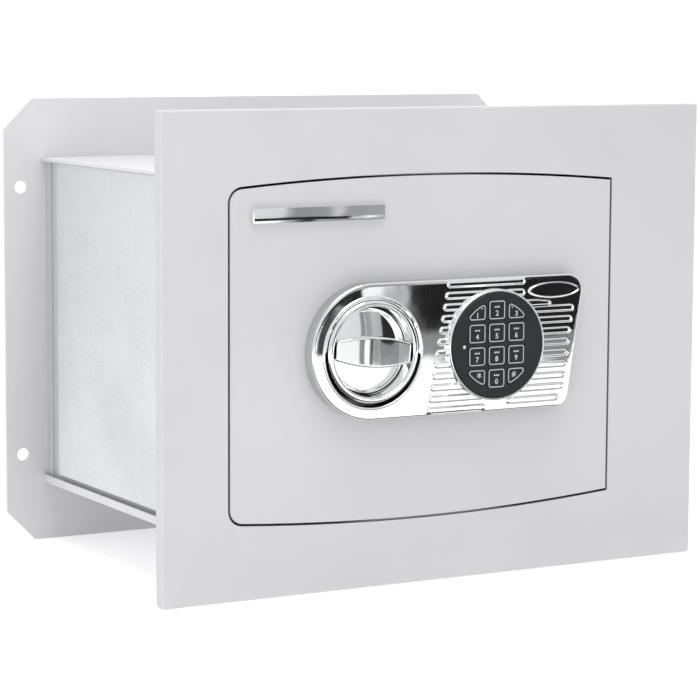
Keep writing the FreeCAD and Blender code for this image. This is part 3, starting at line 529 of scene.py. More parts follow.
# Darker chrome for the lock plate's outer side wall: painted shade on its reflection.
CHROME_WALL_PAINTED_SHADE = chrome("chrome_wall_painted_shade", (0.66, 0.68, 0.69))
SLATE = moulding("slate_moulding", (0.014, 0.018, 0.023), 0.42)
KEY_CAP = moulding("key_moulding", (0.011, 0.014, 0.019), 0.38)
SILVER_INK = printed("silver_outline", (0.50, 0.51, 0.52))
WHITE_INK = printed("light_figures", (0.62, 0.63, 0.65))
ZINC = turned_steel("zinc_plate", (0.66, 0.67, 0.70), 0.32, (6, 6, 6), 40)
BOLT_STEEL = turned_steel("bolt_steel", (0.76, 0.77, 0.79), 0.2)
BRONZE = turned_steel("bronze", (0.55, 0.38, 0.17), 0.35)
RUBBER = moulding("rubber", (0.022, 0.022, 0.024), 0.7, 1.4)
BLACK = moulding("black_moulding", (0.03, 0.03, 0.033), 0.5)
LENS = moulding("lamp_lens", (0.72, 0.72, 0.70), 0.2, 0.4, 0.05)
FELT = felt("grey_felt", (0.11, 0.115, 0.12))
BOARD = board("circuit_board")
JACKET = moulding("cell_jacket", (0.16, 0.17, 0.19), 0.3, 0.5)

CAD_FINISH = (
    (COAT_INNER_PAINTED_SHADE, "inner_liner back_pan"),
    (COAT, "hinge_blocks bolt_keeper door_stiffener door_side_frame door_knuckles"),
    (ZINC, "cover_screws escutcheon_screws guide_studs lock_solenoid knob_cam spindle_clip bolt_carriage"
           " bolt_nuts plunger_spring"),
    (BOLT_STEEL, "hinge_pins knob_spindle solenoid_plunger"),
    (BRONZE, "spindle_bush"),
    (BLACK, "pivot_spacers board_standoffs battery_tray"),
    (BOARD, "keypad_board control_board"),
    (RUBBER, "key_mat keypad_cable"),
    (JACKET, "batteries"))


def finish_cad_nodes():
    for material, nodes in CAD_FINISH:
        for node in nodes.split():
            mesh = frame["nodes"][node].data
            mesh.materials.clear()
            mesh.materials.append(material)


# ---- front frame, box and flange ----

SHEET = span("door_skin")[1][1]
GAP, BEND, EASE = 1.5, 1.4, 0.2


def door_outline(grow=0.0):
    """Upright sides, bowed top and bottom, rounded left corners."""
    low, high = span("door_skin")
    left, right, rise = low[0] - grow, high[0] + grow, high[2] + grow
    centre, half = (left + right) / 2, (right - left) / 2
    bow, corner = 6.65, 9.5 + grow

    def crest(across):
        return rise - bow * ((across - centre) / half) ** 2

    turns = np.linspace(0, QUARTER, 10)
    shoulder = crest(left + corner)
    bend = np.column_stack([left + corner * (1 - np.cos(turns)), shoulder - corner * (1 - np.sin(turns))])
    top = [(x, crest(x)) for x in np.linspace(left + corner, right, 40)[1:]]
    upper = np.vstack([bend, top])
    return np.vstack([upper * (1, -1), upper[::-1]])


def front_frame():
    """Formed sheet: face, rounded bend and returned edge in one skin, with the door opening."""
    rear = span("front_frame")[1][1]

    def outline(inset):
        return rounded(node_rectangle("front_frame", inset), max(BEND - inset, EASE))

    bend = [(outline(BEND * (1 - math.sin(angle))), BEND * (1 - math.cos(angle)))
            for angle in np.linspace(0, QUARTER, 7)]
    lip = [(outline(0), rear - EASE), (outline(EASE), rear), (outline(SHEET - EASE), rear),
           (outline(SHEET), rear - EASE), (outline(SHEET), SHEET)]
    skin = Skin()
    shell = skin.stack(bend + lip)
    sides = len(outline(0))
    # The return wall between bend and lip takes slot 2, the darker coat: painted shade.
    skin.slots[sides * (len(bend) - 1):sides * len(bend)] = [2] * sides
    skin.close(shell, [edge_skin(skin, door_outline(GAP), 0.35, 1)])
    skin.build("frame_shell", "safe_body", [COAT, GAP_PAINTED_SHADE, COAT_RETURN_PAINTED_SHADE], "front_frame", "grey_powder_coat")


def rear_flange():
    """Plate with clipped corners and the four anchor holes of the record's mount."""
    low, high = span("rear_flange")
    clip = 22
    corners = [(low[0] + clip, low[2]), (high[0] - clip, low[2]), (high[0], low[2] + clip),
               (high[0], high[2] - clip), (high[0] - clip, high[2]), (low[0] + clip, high[2]),
               (low[0], high[2] - clip), (low[0], low[2] + clip)]
    dims = next(mount for mount in frame["record"]["mounts"] if mount["name"] == "anchor_holes")["dims"]
    across, up = dims["spacing_x_mm"] / 2, dims["spacing_y_mm"] / 2
    holes = [circle((side * across, end * up), dims["hole_r_mm"], 40) for side in (-1, 1) for end in (-1, 1)]
    plate("anchor_flange", "safe_body", COAT_REAR_PAINTED_LIGHT, "rear_flange", rounded(corners, 1.5), 0.4, holes)


def sheet_box(name, node, material, edge=0.7):
    """A flat sheet with broken edges, cut to a CAD node's box."""
    plate(name, "safe_body", material, node, rounded(node_rectangle(node), edge), rear_round=0.5)


def box_sheets():
    """The box's four sides; the bottom is a tray with low side lips."""
    sheet_box("top_sheet", "body_top_plate", COAT, 0.9)
    low, high = span("body_bottom_plate")
    lip, thick = high[2] + 2.7, 1.8
    tray = [(low[0], low[2]), (high[0], low[2]), (high[0], lip), (high[0] - thick, lip),
            (high[0] - thick, high[2]), (low[0] + thick, high[2]), (low[0] + thick, lip), (low[0], lip)]
    below, lip_edge, inside = [0.9] * 2, [0.4] * 2, [0.3] * 2
    tray = rounded(tray, below + lip_edge + inside + lip_edge)
    plate("bottom_sheet", "safe_body", COAT, "body_bottom_plate", tray, 0.2, rear_round=0.2)
    sheet_box("left_cheek", "side_panel_left", COAT_SIDE_PAINTED_LIGHT)
    sheet_box("right_cheek", "side_panel_right", COAT_SIDE_PAINTED_LIGHT)


def floor_mat():
    low, high = span("floor_mat")
    corner, bevel, drop = 4, 0.8, 0.7
    outline = rounded(box_corners(low[0], high[0], low[1], high[1]), corner, 6)
    levels = [(offset(outline, -bevel), high[2]), (outline, high[2] - drop), (outline, low[2])]
    skin = Skin()
    skin.loft([[(x, d, up) for x, d in loop] for loop, up in levels])
    skin.build("felt_mat", "safe_body", [FELT], "floor_mat", "grey_felt")


# ---- door ----

def door_front():
    """The door's face sheet, with holes for the spindle and the keypad's cable."""
    spindle_hole, cable_hole = 8.5, 3.5
    skin = Skin()
    outer = edge_skin(skin, door_outline(), 0.45, -1)
    skin.close(outer, [skin.stack(edge_rings(hole, 0, SHEET, 0.4, 0.3, sign=1))
                       for hole in (circle(middle("spindle_bush"), spindle_hole, 40),
                                    circle(middle("keypad_cable"), cable_hole, 24))])
    skin.build("door_face", "door", [COAT, GAP_PAINTED_SHADE], "door_skin", "grey_powder_coat")


def door_back():
    outline = rounded(node_rectangle("door_inner_cover"), 2, 5)
    plate("door_back_cover", "door", COAT, "door_inner_cover", outline, 0.3, rear_round=0.6)


def name_bar():
    """A plain bar with a barrelled face where a maker would put a badge."""
    low, high = span("door_badge")
    (across, _, up), (half, _, tall) = middle("door_badge"), half_size("door_badge")
    barrel, rim, flank = 0.15, 0.7, low[1] + 2
    skin, sections = Skin(), []
    for side, shrink in ((-1, rim), (-1, 0), (1, 0), (1, rim)):
        place = across + side * (half if shrink else half - rim)
        face = [(place, low[1] + barrel * t * t + shrink, up + t * (tall - rim - shrink))
                for t in np.linspace(-1, 1, 17)]
        bottom, top = up - tall + shrink, up + tall - shrink
        sections.append([(place, high[1], bottom), (place, flank, bottom), *face,
                         (place, flank, top), (place, high[1], top)])
    skin.loft(sections)
    skin.build("name_bar", "door", [CHROME], "door_badge", "bright_chrome", even=False)


# ---- lock plate ----

PLATE_RADIUS = span("escutcheon")[1][2]
KNOB = middle("knob_disc")
PAD = middle("keypad_housing")
BADGE = middle("oval_badge")
BADGE_SIZE = half_size("oval_badge")
PLATE_FACE = span("keypad_bezel")[1][1]
RIB_PROUD = PLATE_FACE - span("escutcheon")[0][1]
RIBS, RIB_PITCH, RIB_HALF, RIB_START, RIB_LEAN, RIB_DROP = 12, 7.75, 1.75, -18, 1.42, 4.6
RIB_REACH, RIB_FLANK = RIB_HALF + 0.6, 0.9
TOP_RIGHT, LEAN = span("escutcheon")[1][0] + 0.8, 13.8
GRIP_LEAN = math.radians(4.5)
KNOB_HOLE, HOLE_DROP, KNOB_CLOSE = 36.6, 0.7, 35.0
PAD_HOLE = 36.6


def right_edge(up):
    """Where the plate's leaning right edge is at a height."""
    return TOP_RIGHT - LEAN * (PLATE_RADIUS - up) / (2 * PLATE_RADIUS)


def knob_edge(out=0.0):
    """The knob's opening, grown by a distance: close to the disc in its upper half, wider and lower below."""
    count = 180
    angles = np.linspace(0, FULL, count, endpoint=False) + math.pi / count
    above = np.sin(angles + GRIP_LEAN) > 0
    size = np.where(above, KNOB_CLOSE, KNOB_HOLE) + out
    drop = np.where(above, 0, HOLE_DROP)
    return arc((KNOB[0], KNOB[2] - drop), size, angles)


def plate_outline():
    """Half round on the left about the knob, leaning edge with rounded corners on the right."""
    left = arc((KNOB[0], 0), PLATE_RADIUS, np.linspace(QUARTER, math.pi * 1.5, 65))
    low_corner, high_corner, sharp, steps = 8.5, 12, 0.01, 16
    right = rounded([(KNOB[0], -PLATE_RADIUS), (right_edge(-PLATE_RADIUS), -PLATE_RADIUS),
                     (right_edge(PLATE_RADIUS), PLATE_RADIUS), (KNOB[0], PLATE_RADIUS)],
                    [sharp, low_corner, high_corner, sharp], steps)
    one = steps + 1
    lower_turn, upper_turn = right[one:2 * one], right[2 * one:-one]

    def level_run(start, end, up, count=60):
        return np.column_stack([np.linspace(start, end, count)[1:-1], np.full(count - 2, up)])

    side = [lower_turn[-1] + (upper_turn[0] - lower_turn[-1]) * t for t in np.linspace(0, 1, 24)[1:-1]]
    return np.vstack([left, level_run(KNOB[0], lower_turn[0][0], -PLATE_RADIUS), lower_turn, side, upper_turn,
                      level_run(upper_turn[-1][0], KNOB[0], PLATE_RADIUS)])


def smooth_step(value):
    value = np.clip(value, 0, 1)
    return value * value * (3 - 2 * value)


def rib_runs(number):
    """(level, left end, right end) of a rib left of the keypad and of its lower run on the right."""
    level = RIB_PITCH * (number - (RIBS - 1) / 2)
    beside_badge, below_badge, behind_pad = BADGE[0] - 26, BADGE[0] - 5, PAD[0] - 10
    end = beside_badge if number > RIBS - 3 else below_badge if number > RIBS - 4 else behind_pad
    runs = [(level, RIB_START + RIB_LEAN * number + RIB_HALF, end)]
    if 0 < number < RIBS - 2:
        level -= RIB_DROP
        edge_gap = 9 if number < 2 else 6
        runs.append((level, PAD[0] + 12, right_edge(level) - edge_gap - RIB_HALF))
    return runs


def rib_rise(points):
    """How far up a rib each point is, from 0 to 1. The ribs fade out at the keypad and the badge."""
    pad_land, pad_fade, badge_land, badge_fade = 1.0, 0.6, (3.5, 1.6), 0.1
    across, up = points[:, 0], points[:, 1]
    rise = np.zeros(len(points))
    for number in range(RIBS):
        for level, left, right in rib_runs(number):
            gap = np.hypot(across - np.clip(across, left, right), up - level)
            rise = np.maximum(rise, smooth_step((RIB_REACH - gap) / RIB_FLANK))
    keep = smooth_step((away(points, PAD) - PAD_HOLE - pad_land) / pad_fade)
    badge = np.hypot((across - BADGE[0]) / (BADGE_SIZE[0] + badge_land[0]),
                     (up - BADGE[2]) / (BADGE_SIZE[2] + badge_land[1]))
    return rise * keep * smooth_step((badge - 1) / badge_fade)


def plate_depth(points, outline):
    """Depth of the plate's face at (n, 2) points: crown, ribs, knob lip and a rim that thins on the right."""
    rim_round, rim_cut, cut_start, cut_fade, crown_high, crown_wide = 1.3, 0.8, 9, 6, 0.12, 3.0
    lip_high, lip_place, lip_half = 0.8, 0.9, 0.95
    edge = distance_to(points, outline)
    past = points[:, 0] - right_edge(points[:, 1]) + cut_start
    radius = rim_round - rim_cut * smooth_step(past / cut_fade)
    rim = radius - np.sqrt(np.clip(radius ** 2 - np.clip(radius - edge, 0, None) ** 2, 0, None))
    crown = crown_high * np.clip(1 - edge / crown_wide, 0, 1) ** 2
    gap = (away(points, KNOB, HOLE_DROP) - KNOB_HOLE - lip_place) / lip_half
    lip = lip_high * np.sqrt(np.clip(1 - gap ** 2, 0, 1))
    return PLATE_FACE + rim + crown - RIB_PROUD * rib_rise(points) - lip


def face_points(outline):
    """Points for the plate's face: rings along its edges and a fine grid between them."""
    low_knob, upper_half = (KNOB[0], KNOB[2] - HOLE_DROP), slice(1, 88)
    rings = [offset(outline, -inset) for inset in (0.12, 0.35, 0.7, 1.1, 1.5, 2.2)]
    rings += [circle(low_knob, KNOB_HOLE + out) for out in (0.15, 0.35, 0.6, 0.9, 1.2, 1.5, 1.85, 2.6)]
    rings += [knob_edge(out)[upper_half] for out in (0.2, 0.6, 1.0)]
    rings += [circle(PAD, PAD_HOLE + out) for out in (0.5, 1.0, 1.6)]
    columns = np.concatenate([np.arange(-106, -20, 1.3), np.arange(-20, 4, 0.5), np.arange(4, 107, 1.3)])
    across, up = np.meshgrid(columns, np.arange(-45.5, 45.6, 0.31))
    grid = np.column_stack([across.ravel(), up.ravel()])
    edge, knob_rings, pad_rings = 2.4, 2.8, 1.8
    clear = distance_to(grid, outline) > edge
    clear &= away(grid, KNOB, HOLE_DROP) > KNOB_HOLE + knob_rings
    clear &= away(grid, PAD) > PAD_HOLE + pad_rings
    clear &= (grid[:, 0] > KNOB[0]) | (away(grid, KNOB) < PLATE_RADIUS - edge)
    clear &= grid[:, 0] < right_edge(grid[:, 1]) - edge
    return np.vstack(rings + [grid[clear]])


def lock_plate():
    """Walls at the plate's edge and at both openings, with the shaped face between them."""
    outline = plate_outline()
    skin = Skin()

    def wall(loop, step):
        return skin.stack([(loop, plate_depth(loop, outline)), (loop, step), (loop, 0)])

    # Slot 2, the darker chrome, is painted shade on the outer wall.
    skin.slot = 2
    rim, foot = wall(outline, -1.0)
    # Slot 1, the near-black metal, is painted shade on the openings' walls.
    skin.slot = 1
    knob_ring, knob_foot = wall(knob_edge(), -6)
    pad_ring, pad_foot = wall(circle(PAD, PAD_HOLE), -6)
    skin.slot = 0
    skin.cap(foot, [knob_foot, pad_foot])
    skin.relief(rim, [knob_ring, pad_ring], face_points(outline), lambda points: plate_depth(points, outline))
    skin.build("lock_plate", "door", [CHROME, PAINTED_SHADE_CAST, CHROME_WALL_PAINTED_SHADE], "escutcheon", "bright_chrome",
               smooth=50, even=False)


def oval_plate():
    """Blank oval plate with a raised rim."""
    low, high = span("oval_badge")
    turns = np.linspace(0, FULL, 96, endpoint=False)
    outline = np.column_stack([BADGE[0] + (BADGE_SIZE[0] + 1.6) * np.cos(turns),
                               BADGE[2] + BADGE_SIZE[2] * np.sin(turns)])
    profile = [(-1.2, 0.55), (-1.0, 0.3), (-0.75, 0.03), (-0.45, 0.05), (-0.1, 0.4)]
    rings = [(offset(outline, inset), low[1] + depth) for inset, depth in profile]
    skin = Skin()
    skin.close(skin.stack(rings + [(outline, low[1] + 0.7), (outline, high[1])]))
    skin.build("oval_plate", "door", [CHROME], "oval_badge", "bright_chrome")


# ---- turn knob ----

def knob_disc():
    """Dished disc, as (radius, depth) profiles: bowl with a bead, groove, raised ring and side; the groove
    and side are near-black, painted shade.
    """
    low, high = span("knob_disc")
    face, outer = low[1], half_size("knob_disc")[0] - 0.9
    dish, flat, dome, centre = 26.5, -2.6, 2.0, 0.02
    bowl = [(dish * t + centre, flat - dome * (1 - t * t)) for t in np.linspace(0, 1, 16)]
    bowl += [(dish + 0.2, flat + 0.3), (dish + 0.7, flat - 0.2), (dish + 1.4, flat - 0.1), (dish + 2.0, flat)]
    groove = [(dish + 2.05, flat + 0.2), (dish + 2.1, flat + 0.5), (dish + 2.6, flat + 0.5)]
    ring = fillet([(dish + 2.7, flat), (29.7, -3.6), (30.3, face + 0.9), (31.2, face),
                   (33.3, face + 0.1), (outer, face + 1.3), (outer, face + 2.2)], 1.0, 6)
    side = [(outer, face + 2.3), (outer, high[1]), (centre, high[1])]
    skin, last = Skin(), None
    # Slot 1, the near-black metal, is painted shade in the groove and on the side.
    for slot, profile in ((0, bowl), (1, groove), (0, ring), (1, side)):
        skin.slot = slot
        first, end = skin.stack([(circle(KNOB, size), depth) for size, depth in profile])
        if last:
            skin.bridge(last, first)
        else:
            skin.cap(first)
        last = end
    skin.cap(last)
    skin.build("knob_dish", "turn_knob", [CHROME_KNOB, PAINTED_SHADE_CAST], "knob_disc", "bright_chrome")


def knob_grip():
    """Barrel-shaped bar: bowed sides, bulging face and rounded rims, lofted along its length."""
    face = span("knob_grip")[0][1]
    half, mid, bow, bulge, rim, twist, tilt, foot = 28.6, 10.35, 3.85, 2.6, 1.3, 0.014, 0.005, -2.7
    ends = [(1 - rim / half * (1 - math.sin(a)), rim * (1 - math.cos(a))) for a in np.linspace(QUARTER, 0, 6)]
    inner = [(t * (1 - rim / half), 0.0) for t in np.linspace(-1, 1, 65)[1:-1]]
    places = [(-t, s) for t, s in ends] + inner + [(t, s) for t, s in reversed(ends)]
    turns = np.linspace(0, QUARTER, 7)
    lean = turned(-GRIP_LEAN)
    skin, sections = Skin(), []
    for t, shrink in places:
        wide = mid - bow * t * t - shrink
        top = face + bulge * t * t + shrink
        side = [(wide, foot)]
        side += [(wide - rim * (1 - math.cos(a)), top + rim * (1 - math.sin(a))) for a in turns]
        section = side + [(share * (wide - rim), top) for share in (0.95, 0.3, -0.3, -0.95)]
        section += [(-z, depth) for z, depth in reversed(side)]
        section = [(up, depth + (twist * t + tilt) * up) for up, depth in section]
        placed = [(*(lean @ np.array([t * half, up])), depth) for up, depth in section]
        sections.append([(KNOB[0] + across, max(depth, face), KNOB[2] + up) for across, up, depth in placed])
    skin.loft(sections)
    skin.build("knob_bar", "turn_knob", [CHROME_KNOB], "knob_grip", "bright_chrome", smooth=50, even=False)


# ---- keypad ----

KEYS = [(name, {"star": "*", "hash": "#"}.get(name, name), number % 3 - 1, 3 - number // 3 * 2)
        for number, name in enumerate("1 2 3 4 5 6 7 8 9 star 0 hash".split())]
KEY_PITCH, KEY_HALF, KEY_ARC, KEY_ROUND = 15.6, 6.4, 29.6, 1.9
KEYS_MIDDLE = (middle("key_5") + middle("key_8")) / 2
INK, FIGURE_SIZE, STAR_SIZE, STAR_DROP = 0.03, 5.0, 8.0, 1.2
DASH_PITCH, DASH_HALF, DASH_LOW, DASH_HIGH = 1.5, 0.55, 1.6, 2.7
DOT_INSET, DOT_UP, DOT_RADIUS = 2.9, 1.4, 0.5


def is_corner(column, row):
    """Whether a key is one of the four cut by the arc. Rows count half pitches."""
    return column != 0 and abs(row) == 3


def key_outline(column, row, grow=0.0):
    """A rounded square, or for a corner key a rounded shape cut by an arc about the keypad's middle."""
    half = KEY_HALF - KEY_ROUND
    across, up = column * KEY_PITCH, row * KEY_PITCH / 2
    side, end = 1, 1
    core = box_corners(across - half, across + half, up - half, up + half)
    if is_corner(column, row):
        side, end = column, row // 3
        rim, near, far = KEY_ARC - KEY_ROUND, KEY_PITCH - half, KEY_PITCH + half
        core = [(near, KEY_PITCH * 1.5 - half), (far, KEY_PITCH * 1.5 - half)]
        core += [(rim * math.cos(a), rim * math.sin(a))
                 for a in np.linspace(math.acos(far / rim), math.acos(near / rim), 8)]
    loop = swollen(np.array(core), KEY_ROUND + grow) * (side, end) + (KEYS_MIDDLE[0], KEYS_MIDDLE[2])
    return loop if side * end > 0 else loop[::-1]


def keypad_face():
    """Disc with an opening for each key and for the lamp."""
    low, high = span("keypad_housing")
    radius, panel = half_size("keypad_housing")[0], low[1] + 2
    key_gap, lamp_hole, shell = 0.3, 1.3, 2
    skin = Skin()
    disc = circle(PAD, radius)
    outer_front, outer_rear = skin.stack(edge_rings(disc, low[1], high[1], 1.1, 0.3, 6))
    holes = [skin.stack(edge_rings(key_outline(column, row, key_gap), low[1], panel, 0.15, 0.1, 2, sign=1))
             for _, _, column, row in KEYS]
    lamp = circle(middle("status_lamp"), lamp_hole, 24)
    holes.append(skin.stack(edge_rings(lamp, low[1], panel, 0.1, 0.1, 2, sign=1)))
    skin.cap(outer_front, [hole[0] for hole in holes])
    well = circle(PAD, radius - shell)
    inner = skin.stack([(well, panel), (well, high[1])])
    skin.cap(inner[0], [hole[1] for hole in holes])
    skin.cap(outer_rear, [inner[1]])
    skin.build("keypad_face", "door", [SLATE], "keypad_housing", "slate_plastic")


def bezel_ring():
    low, high = span("keypad_bezel")
    outer = half_size("keypad_bezel")[0]
    inner = outer - 1.6
    profile = [(inner, high[1]), (inner, low[1] + 0.3), (inner + 0.25, low[1]), (outer - 0.7, low[1]),
               (outer - 0.2, low[1] + 0.5), (outer, low[1] + 1.4), (outer, high[1]), (inner, high[1])]
    lathe("bezel_ring", CHROME, "keypad_bezel", "bright_chrome", PAD, profile)


def lamp_lens():
    low, high = span("status_lamp")
    radius, bulge = half_size("status_lamp")[0], 0.35
    dome = [(radius * math.sin(a), low[1] + bulge * (1 - math.cos(a))) for a in np.linspace(0.02, QUARTER, 8)]
    dome.append((radius, high[1]))
    lathe("lamp_lens", LENS, "status_lamp", "lamp_lens", middle("status_lamp"), dome, 32)


def figure_mesh(text, size):
    """A printed figure as a thin flat mesh in its own plane."""
    curve = bpy.data.curves.new("figure", "FONT")
    curve.body, curve.size, curve.extrude, curve.offset, curve.resolution_u = text, size, INK, 0.09, 3
    curve.align_x, curve.align_y = "CENTER", "CENTER"
    holder = new_object("figure", curve)
    mesh = bpy.data.meshes.new_from_object(holder.evaluated_get(bpy.context.evaluated_depsgraph_get()))
    bpy.data.objects.remove(holder)
    return mesh


def key_marks(skin, column, row, character, face):
    """The figure and, above it, a short row of plain dashes; keys 1 and 3 have a dot instead."""
    across, up = KEYS_MIDDLE[0] + column * KEY_PITCH, KEYS_MIDDLE[2] + row * KEY_PITCH / 2
    corner_key = is_corner(column, row)
    shift, drop = 0, -2.3
    if corner_key:
        shift, drop = (0, -3.2) if row > 0 else (-column * 1.7, 2.2)
    upright = Matrix(((1, 0, 0, across + shift), (0, 0, 1, face), (0, 1, 0, up + drop), (0, 0, 0, 1)))
    size = FIGURE_SIZE
    if character == "*":
        size = STAR_SIZE
        upright.translation.z -= STAR_DROP
    skin.slot = 2
    skin.take(figure_mesh(character, size), upright)
    marks = []
    if not corner_key:
        dash = box_corners(across - DASH_HALF, across + DASH_HALF, up + DASH_LOW, up + DASH_HIGH)
        marks = [rounded(dash, 0.2, 2) + (step * DASH_PITCH, 0) for step in (-1, 0, 1)]
    elif row > 0:
        marks = [circle((across - column * (KEY_HALF - DOT_INSET), up + DOT_UP), DOT_RADIUS, 12)]
    for mark in marks:
        skin.close(skin.stack([(mark, face - INK), (mark, face + INK)]))


def keys():
    """Key caps with a hidden flange, a silver border and their printed marks."""
    cap, flange = 2.6, 0.7
    border = [(-0.12, -0.02), (-0.85, -0.02), (-0.85, 0.1), (-0.12, 0.1), (-0.12, -0.02)]
    for name, character, column, row in KEYS:
        low, high = span(f"key_{name}")
        outline, lip = key_outline(column, row), key_outline(column, row, flange)
        skin = Skin()
        front, rear = skin.stack(edge_rings(outline, low[1], low[1] + cap, 0.15, 0.05))
        skin.cap(front)
        lip_front, lip_rear = skin.stack([(lip, low[1] + cap), (lip, high[1])])
        skin.cap(lip_front, [rear])
        skin.cap(lip_rear)
        skin.slot = 1
        skin.stack([(offset(outline, inset), low[1] + step) for inset, step in border])
        key_marks(skin, column, row, character, low[1] - 0.01)
        skin.build(f"key_cap_{name}", f"key_{name}", [KEY_CAP, SILVER_INK, WHITE_INK], f"key_{name}",
                   "key_plastic")


# ---- bolt work ----

def bolts():
    """Two turned bolts with chamfered noses, as (radius, x) profiles."""
    low, high = span("locking_bolts")
    radius, depth = half_size("locking_bolts")[1], middle("locking_bolts")[1]
    shoulder = span("bolt_carriage")[0][0]
    tail, centre = 4, 0.02
    profile = [(centre, low[0]), (radius - 2.2, low[0]), (radius - 1.6, low[0] + 0.3),
               (radius - 0.2, low[0] + 2.2), (radius, low[0] + 2.8), (radius, shoulder), (tail, shoulder),
               (tail, high[0] - 0.4), (tail - 0.4, high[0]), (centre, high[0])]
    skin = Skin()
    for up in (high[2] - radius, low[2] + radius):
        skin.loft([[(across, depth + d, up + z) for d, z in circle((0, 0), size, 48)]
                   for size, across in profile])
    skin.build("bolt_pair", "bolt_carriage", [BOLT_STEEL], "locking_bolts", "hard_bolt_steel")


# ---- stage, light and camera ----

def stage_piece(name, points, faces, material):
    mesh = bpy.data.meshes.new(name)
    mesh.from_pydata(points, [], faces)
    mesh.shade_smooth()
    mesh.materials.append(material)
    thing = new_object(name, mesh)
    return thing


def floor():
    """Pale floor that sweeps up into a backdrop behind the object."""
    level = cad_box[0].z
    near, far, wide, radius, wall = -6.0, 2.6, 7.0, 1.6, 5.0
    profile = [(near, level), (far - radius, level)]
    profile += [(far - radius + radius * math.sin(a), level + radius * (1 - math.cos(a)))
                for a in np.linspace(0, QUARTER, 16)[1:]]
    profile.append((far, level + wall))
    points = [(side * wide, y, z) for y, z in profile for side in (-1, 1)]
    faces = [(2 * i, 2 * i + 1, 2 * i + 3, 2 * i + 2) for i in range(len(profile) - 1)]
    nodes = Nodes("pale_floor")
    stage_piece("floor", points, faces, nodes.set(
        base_color=nodes.mix(nodes.noise(3, 2), 0.76, 0.78), roughness=0.8, specular=0.1,
        emission_color=(1, 1, 1, 1), emission_strength=0.45))


# Each strip: its outline in mm along the card and up from the floor, then upright bands as (mm along, grey).
CARD_AZIMUTH, CARD_REACH, CARD_HALF = math.radians(31), 1.23, 620
CARD_STRIPS = (
    ([(-620, 0), (620, 0), (620, 45), (230, 45), (165, 30), (100, 30), (-44, 38), (-50, 58), (-620, 62)],
     [(-320, 0.75), (-300, 0.2), (-240, 0.2), (-236, 0.9), (-182, 0.9), (-178, 0.3), (-158, 0.3),
      (-156, 0.03), (-136, 0.03), (-134, 0.3), (-62, 0.24), (-58, 0.6), (-53, 0.22), (238, 0.22),
      (244, 0.55), (252, 0.32)]),
    (box_corners(-620, 620, 0, 110),
     [(-96, 0.012), (-92, 0.8), (-70, 0.75), (-68, 0.32), (-57, 0.30), (-54, 0.7), (-51, 0.3), (-46, 0.3),
      (-44, 0.012)]),
    (box_corners(-620, 620, 110, 550),
     [(-500, 0.5), (-480, 0.6), (-190, 0.55), (-172, 0.2), (-124, 0.25), (-120, 0.6), (-110, 0.25),
      (-44, 0.3), (-38, 0.4), (70, 0.35), (90, 0.02)]))


def reflection_card():
    """Upright board off camera that the chrome mirrors, in three strips one just behind another."""
    outward = Vector((math.sin(CARD_AZIMUTH), -math.cos(CARD_AZIMUTH), 0))
    along = Vector((math.cos(CARD_AZIMUTH), math.sin(CARD_AZIMUTH), 0))
    for number, (outline, bands) in enumerate(CARD_STRIPS):
        foot = Vector((0, FACE * MM, cad_box[0].z)) + outward * (CARD_REACH + 0.002 * number)
        points = [foot + along * side * MM + Vector((0, 0, up * MM)) for side, up in outline]
        nodes = Nodes(f"card_strip_{number}")
        turn = nodes.add("ShaderNodeVectorRotate", {"Vector": nodes.place, "Angle": -CARD_AZIMUTH},
                         rotation_type="Z_AXIS")
        across = nodes.add("ShaderNodeSeparateXYZ", {"Vector": turn.outputs[0]}).outputs["X"]
        centre, half = foot.dot(along), CARD_HALF * MM
        share = nodes.add("ShaderNodeMapRange", {"Value": across, "From Min": centre - half,
                                                 "From Max": centre + half})
        stops = [((place + CARD_HALF) / (2 * CARD_HALF), tone) for place, tone in bands]
        finish = nodes.set(base_color=nodes.ramp(share.outputs[0], stops), roughness=0.9, specular=0)
        card = stage_piece(f"card_strip_{number}", points, [tuple(range(len(points)))], finish)
        card.visible_camera = False


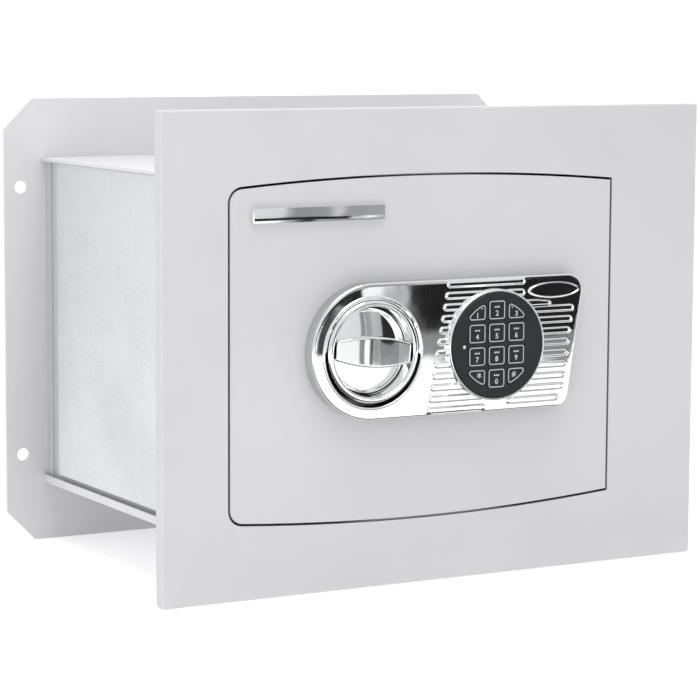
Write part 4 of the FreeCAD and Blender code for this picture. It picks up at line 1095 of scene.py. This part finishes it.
def floor_shade():
    """Dark cloth on the floor just in front, seen only in the chrome."""
    half, far, low = 0.6, FACE * MM - 0.03, cad_box[0].z + 0.001
    near = far - 0.22
    points = [(-half, near, low), (half, near, low), (half, far, low), (-half, far, low)]
    nodes = Nodes("dark_cloth")
    finish = nodes.set(base_color=nodes.mix(nodes.noise(40, 2), 0.08, 0.1), roughness=0.9)
    cloth = stage_piece("floor_shade", points, [(0, 1, 2, 3)], finish)
    cloth.visible_camera = cloth.visible_diffuse = cloth.visible_shadow = False


def area_light(name, place, target, size, power):
    data = bpy.data.lights.new(name, "AREA")
    data.shape, data.size, data.size_y, data.energy = "RECTANGLE", size, size, power
    thing = new_object(name, data)
    thing.location = place
    thing.rotation_euler = (Vector(target) - Vector(place)).to_track_quat("-Z", "Y").to_euler()


def lights():
    world = bpy.data.worlds.new("studio")
    bpy.context.scene.world = world
    world.use_nodes = True
    sky = world.node_tree.nodes["Background"].inputs
    sky["Color"].default_value, sky["Strength"].default_value = (1, 1, 1, 1), 0.80
    area_light("left", (-1.8, 0.9, 0.7), (-0.18, -0.13, 0), 1.6, 1)
    area_light("front", (-0.3, -0.9, 2.5), (0, -0.15, 0), 1.8, 26)
    area_light("above", (-0.3, 0.0, 2.4), (-0.1, -0.13, 0), 1.2, 12)


def camera():
    """A long lens from the room's left side, looking slightly down."""
    across, depth, up = -943.2, -1560.5, 219.0
    azimuth, elevation, roll = math.radians(29.18), math.radians(6.96), math.radians(0.27)
    sight = Vector((math.sin(azimuth) * math.cos(elevation), math.cos(azimuth) * math.cos(elevation),
                    -math.sin(elevation)))
    data = bpy.data.cameras.new("camera")
    data.sensor_width, data.lens, data.clip_end = 36, 138.93, 50
    thing = new_object("camera", data)
    turn = sight.to_track_quat("-Z", "Y").to_matrix().to_4x4()
    place = Matrix.Translation(Vector((across, depth + FACE, up)) * MM)
    thing.matrix_world = place @ turn @ Matrix.Rotation(roll, 4, "Z")
    bpy.context.scene.camera = thing


finish_cad_nodes()
for make in (front_frame, rear_flange, box_sheets, floor_mat, door_front, door_back, name_bar, lock_plate,
             oval_plate, knob_disc, knob_grip, keypad_face, bezel_ring, lamp_lens, keys, bolts, floor,
             reflection_card, floor_shade, lights, camera):
    make()
bpy.context.scene.view_settings.view_transform = "Standard"
